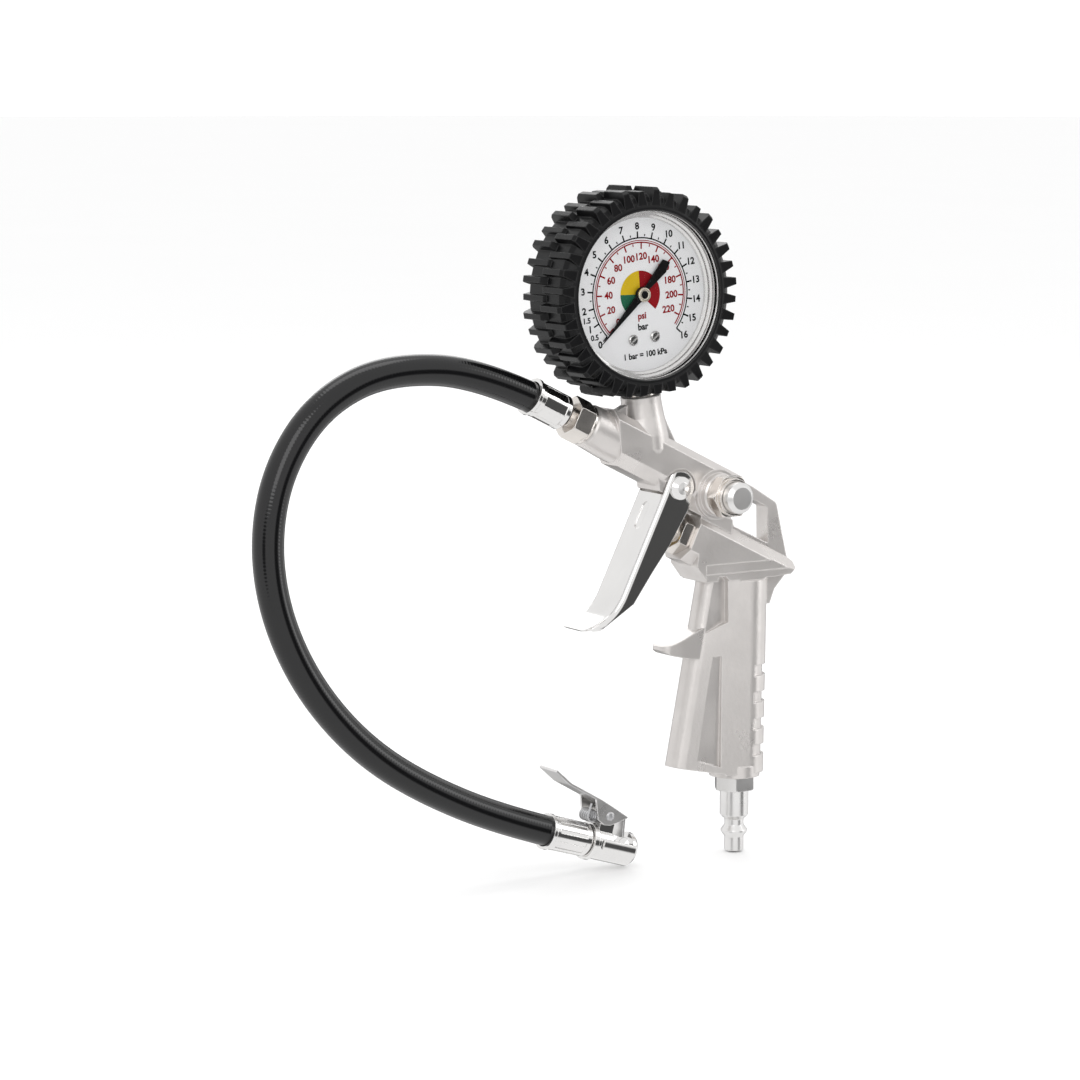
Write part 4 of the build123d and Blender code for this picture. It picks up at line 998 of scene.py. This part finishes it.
class INFLATOR_OT_dial_printing(bpy.types.Operator):
    """Prints the dial's two scales, their numbers, the units and the coloured sectors"""

    bl_idname = "inflator.dial_printing"
    bl_label = "Dial printing"

    def execute(self, context):
        dial = context.scene.inflator_dial
        black, red, green, yellow = (
            surfaced(name, ink, (0.4, 0.5), 0.000004, mottle=0.1, edge=0.0, shine=0.1)
            for name, ink in (
                ("black ink", dial.black_ink),
                ("red ink", dial.red_ink),
                ("green ink", dial.green_ink),
                ("yellow ink", dial.yellow_ink),
            )
        )
        arc = dial.bar_radius
        bars = ZERO_ANGLE - BAR_STEP * np.arange(BAR_TOP + 1)
        half_bars = bars[:-1] - BAR_STEP / 2.0
        near, far = BAR_SMALL_MARK
        print_shapes(
            "bar_scale_marks",
            [
                ring_band(arc - LINE_HALF_WIDTH, arc + LINE_HALF_WIDTH, ZERO_ANGLE, bars[-1]),
                tick_marks(bars, arc, arc + MARK_LENGTH, MARK_WIDTH),
                tick_marks(half_bars, arc + near, arc + far, SMALL_MARK_WIDTH),
            ],
            black,
        )
        ring = dial.psi_radius
        psi = ZERO_ANGLE - PSI_STEP * np.array(PSI_VALUES)
        half_psi = psi[:-1] - PSI_STEP * PSI_SPACING / 2.0
        end = ZERO_ANGLE - PSI_STEP * PSI_END
        near, far = PSI_SMALL_MARK
        inside, outside = PSI_OUTER_LINE
        print_shapes(
            "psi_scale_marks",
            [
                ring_band(ring - LINE_HALF_WIDTH, ring + LINE_HALF_WIDTH, ZERO_ANGLE, end),
                ring_band(ring + inside, ring + outside, ZERO_ANGLE, end),
                tick_marks(psi, ring - MARK_LENGTH, ring, MARK_WIDTH),
                tick_marks(half_psi, ring - near, ring - far, SMALL_MARK_WIDTH),
            ],
            red,
        )
        sectors = (("low_sector", green), ("middle_sector", yellow), ("high_sector", red))
        for (name, ink), start, stop in zip(sectors, SECTOR_EDGES, SECTOR_EDGES[1:]):
            print_shapes(name, [ring_band(SECTOR_INNER_RADIUS, dial.sector_radius, start, stop)], ink)
        size = dial.number_height
        print_words("bar_numbers", numbers_round(BAR_VALUES, BAR_STEP, BAR_NUMBER_RADIUS, size), black)
        psi_numbers = numbers_round(PSI_VALUES, PSI_STEP, PSI_NUMBER_RADIUS, size)
        print_words("psi_numbers", psi_numbers + [PSI_WORD], red)
        print_words("unit_words", BAR_WORDS, black)
        return {"FINISHED"}


class INFLATOR_OT_hub_cap(bpy.types.Operator):
    """Presses a light ring over the black pointer's hub: its profile turned round the hub's axis"""

    bl_idname = "inflator.hub_cap"
    bl_label = "Hub cap"

    def execute(self, context):
        dial = context.scene.inflator_dial
        profile = HUB_CAP_PROFILE * np.array((dial.hub_radius, 1.0))
        turn = np.linspace(0.0, 2.0 * pi, HUB_CAP_SIDES + 1)[:-1]
        across = profile[:, 0, None] * np.cos(turn)
        up = profile[:, 0, None] * np.sin(turn)
        height = np.repeat(profile[:, 1, None], len(turn), axis=1)
        # One row of faces more than the profile has steps, wrapped back to the first row, closes the loop.
        faces = grid_faces(len(profile) + 1, len(turn), True) % (len(profile) * len(turn))
        cap = new_mesh_object("hub_cap", on_dial(across, up, height), faces.tolist(), smooth=True)
        dress(
            cap,
            surfaced(
                "pale brass cap", dial.cap_colour, (0.2, 0.3), 0.000006, mottle=0.1, edge=0.2, metallic=0.8
            ),
        )
        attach(cap, "pointer")
        return {"FINISHED"}


class INFLATOR_OT_stage(bpy.types.Operator):
    """Lays the pale floor and sets up the soft studio light"""

    bl_idname = "inflator.stage"
    bl_label = "Stage"

    def execute(self, context):
        stage = context.scene.inflator_stage
        self.lay_floor(stage.floor_tone)
        context.scene.world = self.studio(stage.sky)
        context.scene.view_settings.view_transform = "Standard"
        for name, place, width, height, share in LAMPS:
            lamp = bpy.data.lights.new(name, "AREA")
            lamp.shape = "RECTANGLE"
            lamp.size = width
            lamp.size_y = height
            lamp.energy = stage.key_power * share
            made = placed(name, lamp)
            made.location = place
            towards = Vector(place) - Vector(stage.aim)
            made.rotation_euler = towards.to_track_quat("Z", "Y").to_euler()
        return {"FINISHED"}

    def lay_floor(self, tone):
        """A disc just under the object: a ring of quads round a fan of triangles."""
        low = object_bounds()[0][2] - FLOOR_GAP
        radius, turn = np.meshgrid(
            np.linspace(0.0, FLOOR_RADIUS, 3)[1:],
            np.linspace(0, 2 * pi, FLOOR_SIDES + 1)[:-1],
            indexing="ij",
        )
        points = np.stack(
            (radius * np.cos(turn), radius * np.sin(turn), np.full_like(radius, low)), axis=-1
        )
        points = np.concatenate((points.reshape(-1, 3), [[0.0, 0.0, low]]))
        centre = len(points) - 1
        ring = grid_faces(2, FLOOR_SIDES, True)[:, ::-1].tolist()
        fan = [[centre, i, (i + 1) % FLOOR_SIDES] for i in range(FLOOR_SIDES)]
        floor = new_mesh_object("studio_floor", points, ring + fan)
        finish, tree, shader = new_finish("pale floor")
        speckle = noise(tree, object_place(tree), 3.0, 2.0)
        shade = blend_colours(tree, speckle, (tone,) * 3 + (1,), (tone * 0.99,) * 3 + (1,))
        fill(tree, shader.inputs["Base Color"], shade)
        shader.inputs["Roughness"].default_value = 0.7
        dress(floor, finish)
        floor.visible_glossy = False
        floor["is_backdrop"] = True

    def studio(self, strength):
        """The world: an even white, which polished surfaces see dimmed by the flags."""
        world = bpy.data.worlds.new("studio")
        world.use_nodes = True
        sky = world.node_tree
        sky.nodes.clear()
        white = (1.0, 1.0, 1.0, 1.0)
        plain = put(sky, "ShaderNodeBackground", {"Color": white, "Strength": strength})
        direction = put(sky, "ShaderNodeTexCoord").outputs["Generated"]
        brightness = MIRROR_WHITE
        for aimed, from_cosine, to_cosine, share in DARK_FLAGS:
            nearness = put(sky, "ShaderNodeVectorMath", {0: direction, 1: aimed}, operation="DOT_PRODUCT")
            kept = stretch(sky, nearness.outputs["Value"], from_cosine, to_cosine, 1.0, share)
            dimmed = put(sky, "ShaderNodeMath", {0: brightness, 1: kept}, operation="MULTIPLY")
            brightness = dimmed.outputs[0]
        flagged = put(sky, "ShaderNodeBackground", {"Color": white, "Strength": brightness})
        by_mirror = put(sky, "ShaderNodeLightPath").outputs["Is Glossy Ray"]
        both = put(
            sky,
            "ShaderNodeMixShader",
            {0: by_mirror, 1: plain.outputs["Background"], 2: flagged.outputs["Background"]},
        )
        put(sky, "ShaderNodeOutputWorld", {"Surface": both.outputs["Shader"]})
        return world


class INFLATOR_PT_sidebar(bpy.types.Panel):
    """Lists the inflator's operators and the sizes and colours they use"""

    bl_idname = "INFLATOR_PT_sidebar"
    bl_label = "Tyre inflator"
    bl_space_type = "VIEW_3D"
    bl_region_type = "UI"
    bl_category = "Inflator"

    def draw(self, context):
        for name in SETTINGS:
            settings = getattr(context.scene, name)
            box = self.layout.box()
            for setting in settings.__annotations__:
                box.prop(settings, setting)
        for operator in OPERATORS:
            self.layout.operator(operator.bl_idname)


SETTINGS = {
    "inflator_finishes": InflatorFinishes,
    "inflator_hose": InflatorHose,
    "inflator_dial": InflatorDial,
    "inflator_stage": InflatorStage,
}
OPERATORS = (
    INFLATOR_OT_camera,
    INFLATOR_OT_effects,
    INFLATOR_OT_metals,
    INFLATOR_OT_soft_and_painted,
    INFLATOR_OT_flexing_pieces,
    INFLATOR_OT_hose,
    INFLATOR_OT_dial_printing,
    INFLATOR_OT_hub_cap,
    INFLATOR_OT_stage,
)


def register():
    for settings in SETTINGS.values():
        bpy.utils.register_class(settings)
    for name, settings in SETTINGS.items():
        setattr(bpy.types.Scene, name, bpy.props.PointerProperty(type=settings))
    for operator in OPERATORS:
        bpy.utils.register_class(operator)
    bpy.utils.register_class(INFLATOR_PT_sidebar)


def unregister():
    bpy.utils.unregister_class(INFLATOR_PT_sidebar)
    for operator in reversed(OPERATORS):
        bpy.utils.unregister_class(operator)
    for name, settings in SETTINGS.items():
        delattr(bpy.types.Scene, name)
        bpy.utils.unregister_class(settings)


def main():
    """Makes everything in order."""
    register()
    bpy.ops.inflator.camera()
    bpy.ops.inflator.effects()
    bpy.ops.inflator.metals()
    bpy.ops.inflator.soft_and_painted()
    bpy.ops.inflator.flexing_pieces()
    bpy.ops.inflator.hose()
    bpy.ops.inflator.dial_printing()
    bpy.ops.inflator.hub_cap()
    bpy.ops.inflator.stage()


if __name__ == "__main__":
    main()
